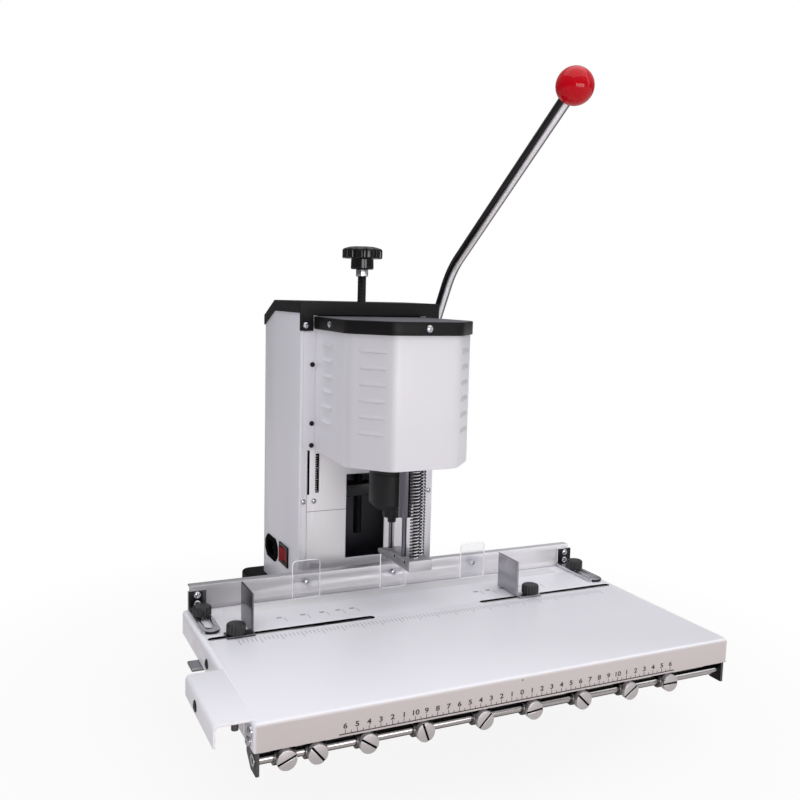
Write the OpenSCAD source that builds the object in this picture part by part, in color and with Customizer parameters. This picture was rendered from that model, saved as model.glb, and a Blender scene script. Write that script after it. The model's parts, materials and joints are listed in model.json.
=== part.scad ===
// Electric paper drill: sliding table with stop rail, back fence, tower, motor head, presser foot and
// feed lever. Millimetres. The origin is the point where the bit meets the table top, +Z is up, the front
// faces -Y and +X is the operator's right.

/* [Table] */
// Width of the table
table_w = 462; // [380:1:600]
// Depth of the table
table_d = 260; // [230:1:330]
// Distance from the drilling line to the rear edge of the table
table_rear = 20; // [15:1:30]
// How far the table stands to the right of the drill at rest
table_shift = 13.5; // [0:0.5:20]
// Thickness of the table sheet
sheet_t = 2; // [1.5:0.1:3]
// Height of the folded edge of the table
flange_h = 23; // [18:0.5:26]
// Distance from the guide slots to the drilling line
slot_front = 66; // [55:1:80]
// Width of the guide slots
slot_w = 7.5; // [4.4:0.1:9]
// Distance of the guide slots from the middle of the table
slot_start = 60; // [50:1:80]
// Distance from the outer slot ends to the table edges
slot_margin = 6; // [5:1:20]
// Distance from the ends of the drilling pad to the table edges
pad_margin = 36; // [30:1:80]
// Width of the drilling pad
pad_w = 18; // [14:1:22]
// Thickness of the drilling pad
pad_t = 5; // [4:0.5:5]
// Width of the side handle plate
handle_w = 28.5; // [20:0.5:40]
// Length of the side handle plate
handle_l = 97; // [80:1:120]
// Diameter of the two slide bars under the table
bar_d = 10; // [8:0.5:12]
// Distance of the slide bars below the table top
bar_drop = 13.5; // [13:0.5:15]

/* [Stop rail] */
// Diameter of the stop rail
rail_d = 8; // [6:0.5:10]
// Distance of the rail behind the front edge
rail_back = 9; // [8:0.5:14]
// Distance of the rail below the folded edge of the table
rail_drop = 9.5; // [8:0.5:14]
// Thickness of the rail end plates
plate_t = 3; // [2:0.5:5]
// Outside diameter of a stop collar
collar_d = 13; // [11:0.5:15]
// Length of a stop collar along the rail
collar_l = 18; // [14:1:20]
// Diameter of the clamp screw head
clamp_d = 16; // [12:0.5:18]
// Thickness of the clamp screw head
clamp_t = 4; // [3:0.5:6]

/* [Fence and guides] */
// Height of the fence above the table
fence_h = 25.5; // [20:0.5:30]
// Distance of the fence face behind the drilling line
fence_back = 13; // [12:0.5:20]
// Depth of the folded lip of the fence
fence_lip = 10; // [6:0.5:14]
// Travel of the fence to the rear
fence_travel = 30; // [20:1:32]
// Width of the fence brackets
bracket_w = 18; // [14:0.5:22]
// Thickness of the fence brackets
bracket_t = 3; // [2:0.5:4]
// Width of the clear stops
clear_w = 30; // [20:1:36]
// Height of the clear stops
clear_h = 40; // [30:1:41]
// Thickness of the clear stops
clear_t = 3; // [2:0.5:4]
// Height of the side guides
guide_h = 38; // [25:1:41]
// Length of the side guides
guide_l = 39; // [30:1:44]
// Diameter of the clamp knobs
knob_d = 18; // [14:0.5:20]
// Height of the clamp knobs
knob_h = 10; // [8:0.5:14]

/* [Base and tower] */
// Width of the base
base_w = 211; // [190:1:260]
// Distance of the base front from the drilling line
base_front = 120; // [100:1:130]
// Distance of the base back behind the drilling line
base_back = 220; // [205:1:270]
// Height of the base without its feet
base_h = 63; // [50:1:80]
// Gap between the folded edge of the table and its carrier
carrier_gap = 1; // [0.8:0.1:3]
// Height of the rubber feet
foot_h = 10; // [6:1:20]
// Width of the tower
tower_w = 163; // [160:1:200]
// Depth of the tower
tower_d = 131; // [120:1:160]
// Height of the tower above the table top
tower_h = 305; // [300:1:370]
// Distance of the tower face behind the drilling line
tower_front = 66.4; // [64:0.2:72]
// Thickness of the tower sheet
wall_t = 1.5; // [1:0.1:2]

/* [Head] */
// Height of the head's lower edge above the table
head_low = 145.4; // [140:0.2:150]
// Height of the white head cover
head_h = 134; // [130:1:146]
// Width of the head
head_w = 138; // [110:1:150]
// Width of the flat front of the head
head_front_w = 70.6; // [50:0.2:90]
// Distance of the head's front from the drill axis
head_reach = 75; // [75:0.5:90]
// Distance of the head's front corners from the drill axis
head_corner = 36.7; // [30:0.5:50]
// Height of the black head cap
cap_h = 11.6; // [8:0.2:13]

/* [Feed] */
// Travel of the drill
stroke = 42; // [30:0.5:42]
// Module of the rack and pinion
gear_module = 1.5; // [1:0.25:2]
// Number of pinion teeth
pinion_teeth = 46; // [36:1:48]
// Distance of the lever shaft below the top of the tower
pivot_drop = 75; // [65:1:90]
// Diameter of the lever shaft
shaft_d = 16; // [12:1:20]
// Diameter of the lever rod
lever_d = 12.5; // [8:0.5:16]
// Diameter of the lever ball
ball_d = 34.6; // [28:0.2:45]
// Diameter of the guide columns
column_d = 16; // [12:1:20]
// Diameter of the depth screw
depth_d = 10; // [8:0.5:12]
// Diameter of the star knob
star_d = 45; // [35:1:55]

/* [Drill and presser] */
// Diameter of the motor
motor_d = 50; // [44:1:54]
// Diameter of the drill bit
bit_d = 6; // [4:0.5:8]
// Bore of the hollow bit
bit_bore = 4.4; // [2.5:0.1:6]
// Diameter of the spindle shaft
spindle_d = 12; // [11:0.5:16]
// Width of the presser foot
presser_w = 25.4; // [23:0.2:30]
// Height of the presser foot above the table at rest
presser_z = 42.5; // [42.3:0.1:50]
// Height of the presser foot block
presser_h = 11.1; // [8:0.1:13]
// Upward travel of the presser foot
presser_travel = 24; // [15:1:25]
// Outside diameter of the guide tube
tube_d = 13; // [10:0.5:14]
// Diameter of the presser rods
rod_d = 5; // [4:0.2:6]
// Mean diameter of the presser springs
spring_d = 9.2; // [8:0.1:10]
// Wire diameter of the presser springs
wire_d = 1.3; // [0.8:0.1:1.6]
// Number of curls in each presser spring
spring_turns = 22; // [12:1:26]

/* [Fits] */
// Running clearance round shafts and bars
run_fit = 0.05; // [0.02:0.01:0.1]
// Gap between flat sliding faces
slide_gap = 0.2; // [0.1:0.05:0.4]
// Gap between pieces that pass each other
pass_gap = 1; // [0.6:0.1:2]

/* [Hidden] */
$fn = 64;

// Small lengths shared by several cuts
over = 1;
screw_d = 3;
screw_head_d = 6.4;
screw_head_t = 2;
screw_l = 5;

// Table
half_table = table_w / 2;
table_y1 = table_rear;
table_y0 = table_y1 - table_d;
slot_y = -slot_front;
pad_half = half_table - pad_margin;
slot_end = half_table - slot_margin;
bar_z = -bar_drop;
bar_half = half_table - sheet_t;
front_bar_y = -88;
rear_bar_y = -32;
bar_hole_d = bar_d - 2;
handle_front = 9;
handle_drop = 18;
handle_leg = 14;
pad_wall = 2;
table_screw_spots = [[8, -7], [14, -16]];

// Stop rail
rail_y = table_y0 + rail_back;
rail_z = -flange_h - rail_drop;
rail_half = half_table - sheet_t - plate_t;
plate_below = 6.5;
plate_low = rail_z - rail_d / 2 - plate_below;
plate_depth = 26;
plate_cut = [12, 9];
clamp_slot = 1.6;
clamp_seat = 1;
clamp_stem_d = 6;
stop_places = [-0.91, -0.80, -0.613, -0.395, -0.152, 0.064, 0.288, 0.516, 0.717];
stop_angles = [22, -50, -35, -70, 45, 5, -45, 35, 0];

// Fence and guides
fence_t = 2;
fence_inset = 6;
fence_half = half_table - fence_inset;
bracket_out = 2;
bracket_x = fence_half + bracket_out - bracket_w / 2;
bracket_h = 21;
bracket_tip = -56;
fence_knob_y = -11;
knob_screw_d = 6;
knob_grooves = 12;
groove_d = 3;
groove_out = 0.6;
groove_low = 2;
fence_slot_w = knob_screw_d + 2;
boss_d = 14;
boss_h = 6;
clear_places = [-104.5, -5.5, 93];
clear_screw_z = 17;
clear_corner = 3;
fence_screw_z = [8, 17];
guide_t = 2;
guide_insets = [49, 127];
guide_left_x = -half_table + guide_insets[0];
guide_right_x = half_table - guide_insets[1];
guide_knob_gap = 17;
guide_foot_l = 27;
guide_foot_w = 14;
guide_screw_d = 3.6;
key_l = 14;
key_shoe_w = 13;
key_shoe_h = 3;

// Base and tower
carrier_t = 3;
base_z1 = -flange_h - carrier_gap - carrier_t;
base_z0 = base_z1 - base_h;
base_wall = 3;
base_corner = 12;
foot_d = 24;
foot_taper = 4;
foot_inset = 18;
pad_block = 34;
pad_block_h = 6;
carrier_inset = 4;
carrier_half = half_table - carrier_inset;
carrier_y = [-70, -50];
carrier_top = base_z1 + carrier_t;
eye_x = 75;
eye_w = 24;
eye_side = 5;
eye_wall = 3;
eye_d = bar_d + 2 * eye_side;
index_d = 8;
index_gap = 2.5;
index_out = 8;
index_y = rail_y + collar_d / 2 + index_gap + index_out;
index_knob_d = 10;
index_knob_l = 6;
index_tail = 10;
index_boss_l = 14;
index_half = 8;
index_wall = 4;
half_tower = tower_w / 2;
tower_back = tower_front + tower_d;
tower_low = base_z1;
bevel_run = 39;
bevel_rise = 18.5;
strip_w = 9;
lap_w = 11;
panel_gap = 0.3;
panel_half = half_tower - strip_w - panel_gap;
strip_x = half_tower - strip_w / 2 - 0.5;
front_screw_spots = [[-strip_x, 88.5], [8 - panel_half, 88.5], [strip_x, 91], [panel_half - 5, 71]];
panel_y = tower_front + wall_t;
lap_y = panel_y + wall_t;
lip_side = 11;
lip_screw = 6;
panel_low = 10;
window_x = [-26, 21];
window_z = [20.5, 116];
scale_slot_x = -60.5;
scale_slot_w = 4.5;
scale_slot_z = [97.5, 141];
cover_out = wall_t;
inlet_y = tower_front + 96.6;
inlet_z = 12;
inlet_w = 48;
inlet_h = 24;
inlet_body = [27.6, 19.6];
inlet_recess = [24, 16];
inlet_deep = 20;
blade = [1.6, 4];
blade_back = 5;
blade_spots = [[-7, -2], [0, 2], [7, -2]];
switch_y = tower_front + 49.6;
switch_z = 16;
switch_w = 32;
switch_h = 24;
switch_body = [28, 20];
switch_pocket = [24, 16];
switch_deep = 18;
fitting_t = 2;
fitting_back = 3;
rocker_tilt = 8;
rocker_l = 19.6;
rocker_pin_d = 3;
rocker_pivot = 7.5;
rocker_sink = 2.5;
rocker_x = -half_tower - fitting_t + rocker_pivot + rocker_sink;
rocker_back = 3;
rocker_rise = [3.5, 1.5];
pin_half = 9;
pin_end = 0.2;

// Head
head_top = head_low + head_h;
lip_lap = 4.4;
lip_low = head_top - lip_lap;
panel_top = head_top;
head_side = 64.5;
head_t = 1.5;
head_flange = 14;
cap_out = 2;
cap_t = 2;
cap_clear = head_side + cap_out + pass_gap;
flange_top = lip_low - pass_gap;
flange_screw_x = head_side + head_flange / 2 - 3;
flange_screw_z = [head_low + 5.6, head_low + 29.6, head_top - 40.4];

// Feed
pivot_z = tower_h - pivot_drop;
pitch_r = gear_module * pinion_teeth / 2;
rack_line = tower_front + 30.1;
pivot_y = rack_line + pitch_r;
rack_x = [19, 31];
rack_front = tower_front + 19.6;
rack_room = 2;
tooth_tip = gear_module;
tooth_root = 1.25 * gear_module;
tooth_pitch = PI * gear_module;
backlash = 0.25;
tooth_half = tooth_pitch / 4 - backlash / 2;
tooth_lean = tan(20);
tooth_sink = 0.5;
pinion_leans = [0.7 * tooth_lean, 1.3 * tooth_lean];
arm_z = [188, 230];
block_x = 62;
block_y = [tower_front + 13.6, tower_front + 37.6];
block_z0 = 142;
column_x = 50;
column_y = tower_front + 25.6;
frame_low = [tower_low + wall_t, -5];
frame_top = [tower_h - 21, tower_h - 9];
web_t = 8;
web_y1 = switch_y - switch_body[0] / 2 - pass_gap;
bearing_x = [4, 12];
bearing_y = [tower_front + 38.6, tower_front + 85.6];
bearing_z0 = pivot_z - 18;
bush_wall = 3.5;
bush_flange = 3.5;
bush_l = 5;
bush_rim = 4;
shaft_x = [3, half_tower + 23];
boss_x = [half_tower + 5, half_tower + 22];
lever_boss_d = 28;
lever_x = (boss_x[0] + boss_x[1]) / 2;
lever_bend = [-70, 115];
lever_end = [-293, 275];
lever_radius = 26;
lever_seat = 4;
ball_seat = 9;
depth_y = tower_front + 29.6;
depth_hole_d = depth_d + 4;
depth_z = [40, tower_h + 55];
lock_nut_z = [tower_h + 30, tower_h + 38];
lock_nut_d = 15;
hub_z = tower_h + 50;
hub_d = 25.5;
star_z = tower_h + 61;
star_flutes = 12;
flute_d = 6.4;
flute_out = 1.5;
dome_h = 2.5;
dome_inset = 4;
nut_h = 14;
nut_w = [56, 22];
nut_z1 = block_z0 - stroke - slide_gap;
spring_at = [-28, column_y];
return_d = 12;
return_bore = 8;

// Drill and presser
motor_z = [98, 265];
motor_end = [18, 91];
collet_d = 20;
collet_z = 82;
nose_d = 8.6;
nose_z = 76;
bit_tip = presser_z - 0.3;
bit_seat = 28;
spindle_top = motor_z[1] - 3;
ring_d = motor_d + 26;
presser_front = -71.3;
presser_back = 6;
presser_slope = -34;
presser_thin = 4.3;
bit_clear = 0.5;
presser_top = presser_z + presser_h;
nose_x = 20;
nose_y = [-71, -28];
nose_low = 154;
tube_at = [-8.8, -50];
tube_low = 94;
tube_high = 215;
spring_reach = tube_d / 2 + spring_d / 2 + wire_d / 2 + 0.63;
spring_step = spring_d + wire_d + 2.59;
spring_one = tube_at + spring_reach * [cos(-53.9), sin(-53.9)];
spring_spots = [spring_one, spring_one + spring_step * [cos(43.4), sin(43.4)]];
rod_seat = 1;
rod_high = 205;
side_holes = [-36, -60];
side_hole = [3, 2, 3.5];
panel_open_x = ring_d / 2 + 4;
panel_open_z = [arm_z[0] - stroke - 0.5, arm_z[1] + 2];

// Box between two opposite corners
module span(low, high) {
    translate(low)
        cube(high - low);
}

// Cylinder along X, Y or Z between two places on its axis
module rod_x(from, to, y, z, d) {
    translate([from, y, z])
        rotate([0, 90, 0])
            cylinder(h = to - from, d = d);
}

module rod_y(from, to, x, z, d) {
    translate([x, from, z])
        rotate([-90, 0, 0])
            cylinder(h = to - from, d = d);
}

module rod_z(from, to, x, y, d) {
    translate([x, y, from])
        cylinder(h = to - from, d = d);
}

// Rectangle with round corners
module round_plate(w, d, r) {
    square([w - 2 * r, d], center = true);
    square([w, d - 2 * r], center = true);
    for (x = [-1, 1], y = [-1, 1])
        translate([x * (w / 2 - r), y * (d / 2 - r)])
            circle(r = r);
}

// Slot with round ends along X, cut from z0 to z1
module slot_cut(from, to, y, w, z0, z1) {
    span([from + w / 2, y - w / 2, z0], [to - w / 2, y + w / 2, z1]);
    rod_z(z0, z1, from + w / 2, y, w);
    rod_z(z0, z1, to - w / 2, y, w);
}

// Screw whose head stands on Z = 0 with its stem below
module screw(length = screw_l) {
    translate([0, 0, -length])
        cylinder(h = length, d = screw_d);
    cylinder(h = screw_head_t, d1 = screw_head_d, d2 = screw_head_d * 0.7);
}

// Turns the screw's head to -Y, or to -X or +X for a side of -1 or 1
module facing_front() {
    rotate([90, 0, 0])
        children();
}

module facing_side(side) {
    rotate([0, side * 90, 0])
        children();
}

// Everything on the table stands to the right of the drill at rest
module on_table() {
    translate([table_shift, 0, 0])
        children();
}

// Base and its feet
module base_box() {
    color("#1b1b1e")
        difference() {
            translate([0, (base_back - base_front) / 2, base_z0])
                linear_extrude(base_h)
                    round_plate(base_w, base_back + base_front, base_corner);
            difference() {
                translate([0, (base_back - base_front) / 2, base_z0 - over])
                    linear_extrude(base_h - base_wall + over)
                        round_plate(
                            base_w - 2 * base_wall,
                            base_back + base_front - 2 * base_wall,
                            base_corner - base_wall
                        );
                foot_places()
                    translate([-pad_block / 2, -pad_block / 2, 0])
                        cube([pad_block, pad_block, pad_block_h]);
            }
        }
}

// Stands its children at the four feet, on the underside of the base
module foot_places() {
    for (x = [-1, 1], y = [-base_front + foot_inset, base_back - foot_inset])
        translate([x * (base_w / 2 - foot_inset), y, base_z0])
            children();
}

module rubber_feet() {
    color("#141414")
        foot_places()
            translate([0, 0, -foot_h])
                cylinder(h = foot_h, d1 = foot_d - foot_taper, d2 = foot_d);
}

// Bearing frame on the base that carries the slide bars and the index pin
module table_carrier() {
    color("#c9c9cc")
        difference() {
            union() {
                span([-carrier_half, carrier_y[0], base_z1], [carrier_half, carrier_y[1], carrier_top]);
                span([-index_half, index_y, base_z1], [index_half, carrier_y[1], carrier_top]);
                span(
                    [-index_half, index_y, rail_z - index_d / 2 - index_wall],
                    [index_half, index_y + index_boss_l, carrier_top]
                );
                for (x = [-1, 1])
                    carrier_side(x * eye_x);
            }
            rod_x(-carrier_half, carrier_half, front_bar_y, bar_z, bar_d + 2 * run_fit);
            rod_x(-carrier_half, carrier_half, rear_bar_y, bar_z, bar_d + 2 * run_fit);
            rod_y(index_y - over, index_y + index_boss_l + over, 0, rail_z, index_d + 2 * run_fit);
        }
}

// Cheek of the carrier with an eye for each bar
module carrier_side(x) {
    half = eye_d / 2;
    x0 = x - eye_w / 2;
    x1 = x + eye_w / 2;
    span([x0, front_bar_y - half, base_z1], [x1, rear_bar_y + half, carrier_top]);
    for (y = [front_bar_y, rear_bar_y])
        span([x0, y - half, base_z1], [x1, y + half, bar_z + bar_d / 2 + eye_wall]);
}

module index_pin() {
    knob_y = index_y + index_boss_l + index_tail;
    color("#b9bcc2") {
        rod_y(rail_y + collar_d / 2 + index_gap, knob_y, 0, rail_z, index_d);
        rod_y(knob_y, knob_y + index_knob_l, 0, rail_z, index_knob_d);
    }
}

// Side view of the tower, with its rear bevel
module tower_side(grow = 0) {
    polygon([
        [tower_front - grow, tower_low],
        [tower_back + grow, tower_low],
        [tower_back + grow, tower_h - bevel_rise + grow],
        [tower_back - bevel_run, tower_h + grow],
        [tower_front - grow, tower_h + grow]
    ]);
}

// Stands an outline of Y and Z up as a plate from x0 to x1
module plate_x(x0, x1) {
    translate([x0, 0, 0])
        rotate([90, 0, 90])
            linear_extrude(x1 - x0)
                children();
}

module tower_shell() {
    color("#e4e3ec")
        difference() {
            union() {
                for (side = [-1, 1])
                    on_side(side)
                        tower_wall();
                span([-half_tower, tower_front, tower_low], [half_tower, tower_back, tower_low + wall_t]);
            }
            rod_x(half_tower - 3 * wall_t, half_tower + over, pivot_y, pivot_z, shaft_d + 2 * bush_wall);
            fitting_hole(inlet_y, inlet_z, inlet_body);
            fitting_hole(switch_y, switch_z, switch_body);
            front_screws()
                screw();
        }
}

// Right-hand half as drawn for 1, mirrored for -1
module on_side(side) {
    mirror([side < 0 ? 1 : 0, 0, 0])
        children();
}

// Right wall of the tower with its front strip and the lap behind the panel
module tower_wall() {
    plate_x(half_tower - wall_t, half_tower)
        tower_side();
    span([half_tower - strip_w, tower_front, tower_low], [half_tower, panel_y, tower_h]);
    span([half_tower - strip_w - lap_w, panel_y, tower_low], [half_tower, lap_y, tower_h]);
}

// Hole in the left wall for the body of a fitting
module fitting_hole(y, z, size) {
    span(
        [-half_tower - over, y - size[0] / 2, z - size[1] / 2],
        [-half_tower + 2 * wall_t, y + size[0] / 2, z + size[1] / 2]
    );
}

module front_panel() {
    color("#e4e3ec")
        difference() {
            span([-panel_half, tower_front, panel_low], [panel_half, panel_y, panel_top]);
            span([window_x[0], 0, window_z[0]], [window_x[1], lap_y, window_z[1]]);
            span([-panel_open_x, 0, panel_open_z[0]], [panel_open_x, lap_y, panel_open_z[1]]);
            span(
                [scale_slot_x - scale_slot_w / 2, 0, scale_slot_z[0]],
                [scale_slot_x + scale_slot_w / 2, lap_y, scale_slot_z[1]]
            );
            front_screws()
                screw();
        }
}

module rear_cover() {
    inner = half_tower - wall_t;
    color("#e4e3ec")
        span([-inner, tower_back - wall_t, tower_low + wall_t], [inner, tower_back, tower_h - bevel_rise]);
}

// Folded black cover over the tower's top, sloping at the rear
module top_cover() {
    outer = half_tower + cover_out;
    color("#232226")
        difference() {
            plate_x(-outer, outer)
                tower_side(cover_out);
            plate_x(-half_tower, half_tower)
                tower_side();
            plate_x(-outer - over, outer + over)
                polygon([
                    [tower_front, tower_low - over],
                    [tower_back + 2 * cover_out, tower_low - over],
                    [tower_back + 2 * cover_out, tower_h - bevel_rise - lip_side],
                    [tower_back - bevel_run, tower_h - lip_side],
                    [tower_front, tower_h - lip_side]
                ]);
            span([-outer - over, 0, tower_low - over], [outer + over, tower_front + over, lip_low]);
            span([-cap_clear, 0, 0], [cap_clear, tower_front, head_top + cap_h + pass_gap]);
            rod_z(tower_h - over, tower_h + cover_out + over, 0, depth_y, depth_hole_d);
            lip_screws()
                screw();
        }
}

// Plan of the head, grown outward by a wall
module head_plan(grow = 0) {
    side = head_side + grow;
    wide = head_w / 2 + grow;
    front = head_front_w / 2 + grow * 0.7;
    polygon([
        [-side, tower_front],
        [-wide, -head_corner - grow * 0.5],
        [-front, -head_reach - grow],
        [front, -head_reach - grow],
        [wide, -head_corner - grow * 0.5],
        [side, tower_front]
    ]);
}

module head_cover() {
    color("#e6e5ee")
        difference() {
            union() {
                translate([0, 0, head_low])
                    linear_extrude(head_h)
                        head_plan();
                for (side = [-1, 1])
                    on_side(side)
                        span(
                            [head_side - 3, tower_front - head_t, head_low],
                            [head_side + head_flange, tower_front, flange_top]
                        );
            }
            translate([0, 0, head_low - over])
                linear_extrude(head_h + 2 * over)
                    head_hollow();
            flange_screws()
                screw();
        }
}

// Space inside the head, open through its back
module head_hollow() {
    head_plan(-head_t);
    translate([-head_side + head_t, tower_front - over])
        square([2 * (head_side - head_t), 2 * over]);
}

module head_cap() {
    color("#232226")
        difference() {
            translate([0, 0, head_top - cap_t])
                linear_extrude(cap_h + cap_t)
                    head_plan(cap_out);
            translate([0, 0, head_top - cap_t - over])
                linear_extrude(cap_t + over)
                    head_plan();
            translate([0, 0, head_top - over])
                linear_extrude(cap_h - cap_t + over)
                    head_hollow();
            cap_screws()
                screw();
        }
}

// Places of the screws in the tower, head and covers
module front_screws() {
    for (spot = front_screw_spots)
        translate([spot[0], tower_front, spot[1]])
            facing_front()
                children();
    flange_screws()
        children();
}

module flange_screws() {
    for (side = [-1, 1], z = flange_screw_z)
        translate([side * flange_screw_x, tower_front - head_t, z])
            facing_front()
                children();
}

module cap_screws() {
    screw_z = head_top + cap_h / 2 - 1;
    translate([0, -head_reach - cap_out, screw_z])
        facing_front()
            children();
    for (side = [-1, 1])
        translate([side * (cap_side_x(12) + 0.02), 12, screw_z])
            facing_side(side)
                children();
}

// Half width of the cap at a place along Y
function cap_side_x(y) = head_side + cap_out
    + (head_w / 2 - head_side) * (tower_front - y) / (tower_front + head_corner);

module lip_screws() {
    for (side = [-1, 1])
        translate([side * (half_tower - 5), tower_front - cover_out, lip_low + lip_screw])
            facing_front()
                children();
}

module cover_screws() {
    color("#5a5a60") {
        front_screws()
            screw();
        cap_screws()
            screw();
        lip_screws()
            screw(cover_out);
    }
}

// Guide columns and the frame that holds them
module guide_columns() {
    color("#c8ccd2")
        for (side = [-1, 1])
            rod_z(frame_low[0], frame_top[1], side * column_x, column_y, column_d);
}

module inner_frame() {
    inner = half_tower - wall_t;
    color("#3a3b40")
        difference() {
            union() {
                span([-inner, block_y[0], frame_low[0]], [block_x + 6, block_y[1], frame_low[1]]);
                span([-inner, block_y[0], frame_low[0]], [-inner + web_t, web_y1, frame_top[1]]);
                span([-inner, block_y[0], frame_top[0]], [inner, block_y[1], frame_top[1]]);
                span(
                    [bearing_x[0], block_y[1] - over, frame_top[0]],
                    [bearing_x[1], bearing_y[1], frame_top[1]]
                );
                span(
                    [bearing_x[0], bearing_y[0], bearing_z0],
                    [bearing_x[1], bearing_y[1], frame_top[1]]
                );
            }
            for (side = [-1, 1])
                rod_z(frame_low[0] - over, frame_top[1] + over, side * column_x, column_y, column_d);
            rod_z(frame_top[0] - over, frame_top[1] + over, 0, depth_y, depth_d + 2 * run_fit);
            span(
                [rack_x[0] - pass_gap, rack_front - pass_gap, frame_top[0] - over],
                [rack_x[1] + pass_gap, rack_line + tooth_tip + pass_gap, frame_top[1] + over]
            );
            rod_x(bearing_x[0] - over, bearing_x[1] + over, pivot_y, pivot_z, shaft_d + 2 * bush_wall);
        }
}

module shaft_bushes() {
    bush_d = shaft_d + 2 * bush_wall;
    color("#b08d4c")
        difference() {
            union() {
                rod_x(bearing_x[0], bearing_x[1], pivot_y, pivot_z, bush_d);
                rod_x(half_tower - bush_l, half_tower + bush_flange, pivot_y, pivot_z, bush_d);
                rod_x(half_tower, half_tower + bush_flange, pivot_y, pivot_z, bush_d + 2 * bush_rim);
            }
            rod_x(0, half_tower + 2 * bush_flange, pivot_y, pivot_z, shaft_d + 2 * run_fit);
        }
}

// Mains inlet and rocker switch in the left wall
module fitting(y, z, w, h, body, pocket, deep) {
    face = -half_tower - fitting_t;
    difference() {
        union() {
            span([face, y - w / 2, z - h / 2], [-half_tower, y + w / 2, z + h / 2]);
            span(
                [-half_tower, y - body[0] / 2, z - body[1] / 2],
                [face + deep + fitting_back, y + body[0] / 2, z + body[1] / 2]
            );
        }
        span(
            [face - over, y - pocket[0] / 2, z - pocket[1] / 2],
            [face + deep, y + pocket[0] / 2, z + pocket[1] / 2]
        );
    }
}

module power_inlet() {
    face = -half_tower - fitting_t;
    color("#19191b") {
        fitting(inlet_y, inlet_z, inlet_w, inlet_h, inlet_body, inlet_recess, inlet_deep);
        for (spot = blade_spots)
            translate([face + blade_back, inlet_y + spot[0], inlet_z + spot[1]])
                span(
                    [0, -blade[0] / 2, -blade[1] / 2],
                    [inlet_deep + over - blade_back, blade[0] / 2, blade[1] / 2]
                );
    }
}

module switch_bezel() {
    color("#19191b")
        difference() {
            fitting(switch_y, switch_z, switch_w, switch_h, switch_body, switch_pocket, switch_deep);
            rod_z(switch_z - pin_half, switch_z + pin_half, rocker_x, switch_y, rocker_pin_d + 2 * run_fit);
        }
}

module switch_rocker() {
    half = rocker_l / 2;
    tall = switch_pocket[1] - 4 * slide_gap;
    color("#b3161c")
        translate([rocker_x, switch_y, switch_z]) {
            rotate([0, 0, rocker_tilt])
                translate([0, 0, -tall / 2])
                    linear_extrude(tall)
                        polygon([
                            [rocker_back, -half],
                            [rocker_back, half],
                            [-rocker_pivot - rocker_rise[0], half],
                            [-rocker_pivot - rocker_rise[1], 0],
                            [-rocker_pivot - rocker_rise[0], -half]
                        ]);
            translate([0, 0, pin_end - pin_half])
                cylinder(h = 2 * (pin_half - pin_end), d = rocker_pin_d);
        }
}

// Sliding table
module table_top() {
    color("#e4e3ec")
        on_table()
            difference() {
                union() {
                    difference() {
                        span([-half_table, table_y0, -flange_h], [half_table, table_y1, 0]);
                        span(
                            [-half_table + sheet_t, table_y0 + sheet_t, -flange_h - over],
                            [half_table - sheet_t, table_y1 - sheet_t, -sheet_t]
                        );
                    }
                    span(
                        [-pad_half - pad_wall, -pad_w / 2 - pad_wall, -pad_t - pad_wall],
                        [pad_half + pad_wall, pad_w / 2 + pad_wall, -sheet_t]
                    );
                    for (side = [-1, 1])
                        rod_z(-sheet_t - boss_h, -sheet_t, side * bracket_x, fence_knob_y, boss_d);
                }
                span([-pad_half, -pad_w / 2, -pad_t], [pad_half, pad_w / 2, over]);
                for (side = [-1, 1]) {
                    rod_z(-flange_h, over, side * bracket_x, fence_knob_y, knob_screw_d + 2 * run_fit);
                    on_side(side)
                        slot_cut(slot_start, slot_end, slot_y, slot_w, -flange_h, over);
                }
                for (y = [front_bar_y, rear_bar_y])
                    rod_x(-half_table - over, half_table + over, y, bar_z, bar_hole_d);
                flange_screws_table()
                    screw();
            }
}

// Places of the dome screws that hold the rail plates to the side flanges
module flange_screws_table() {
    for (side = [-1, 1], spot = table_screw_spots)
        translate([side * half_table, table_y0 + spot[0], spot[1]])
            facing_side(side)
                children();
}

module table_screws() {
    color("#c3c5ca")
        on_table()
            flange_screws_table()
                screw();
}

// Hand plate on the left edge, folded down outside and against the table
module table_handle() {
    y0 = table_y0 + handle_front;
    y1 = y0 + handle_l;
    outer = -half_table - handle_w;
    color("#e4e3ec")
        on_table() {
            span([outer, y0, -sheet_t], [-half_table, y1, 0]);
            span([outer, y0, -handle_drop], [outer + sheet_t, y1, 0]);
            span(
                [-half_table - sheet_t, y0 + handle_leg, -handle_drop],
                [-half_table, y1 - handle_leg / 2, 0]
            );
        }
}

module slide_bars() {
    color("#c3c7cd")
        on_table()
            for (y = [front_bar_y, rear_bar_y])
                rod_x(-bar_half, bar_half, y, bar_z, bar_d);
}

module drill_pad() {
    color("#efefef")
        on_table()
            span([-pad_half, -pad_w / 2, -pad_t], [pad_half, pad_w / 2, 0]);
}

// Stop rail with its end plates and nine stops
module stop_rail() {
    color("#c8ccd2")
        on_table()
            rod_x(-rail_half, rail_half, rail_y, rail_z, rail_d);
}

module rail_plates() {
    y0 = table_y0 + sheet_t + slide_gap;
    color("#8f9096")
        on_table()
            difference() {
                for (side = [-1, 1])
                    on_side(side)
                        plate_x(rail_half, rail_half + plate_t)
                            polygon([
                                [y0, -sheet_t],
                                [y0, plate_low],
                                [y0 + plate_depth - plate_cut[0], plate_low],
                                [y0 + plate_depth, plate_low + plate_cut[1]],
                                [y0 + plate_depth, -sheet_t]
                            ]);
                flange_screws_table()
                    screw();
            }
}

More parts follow.
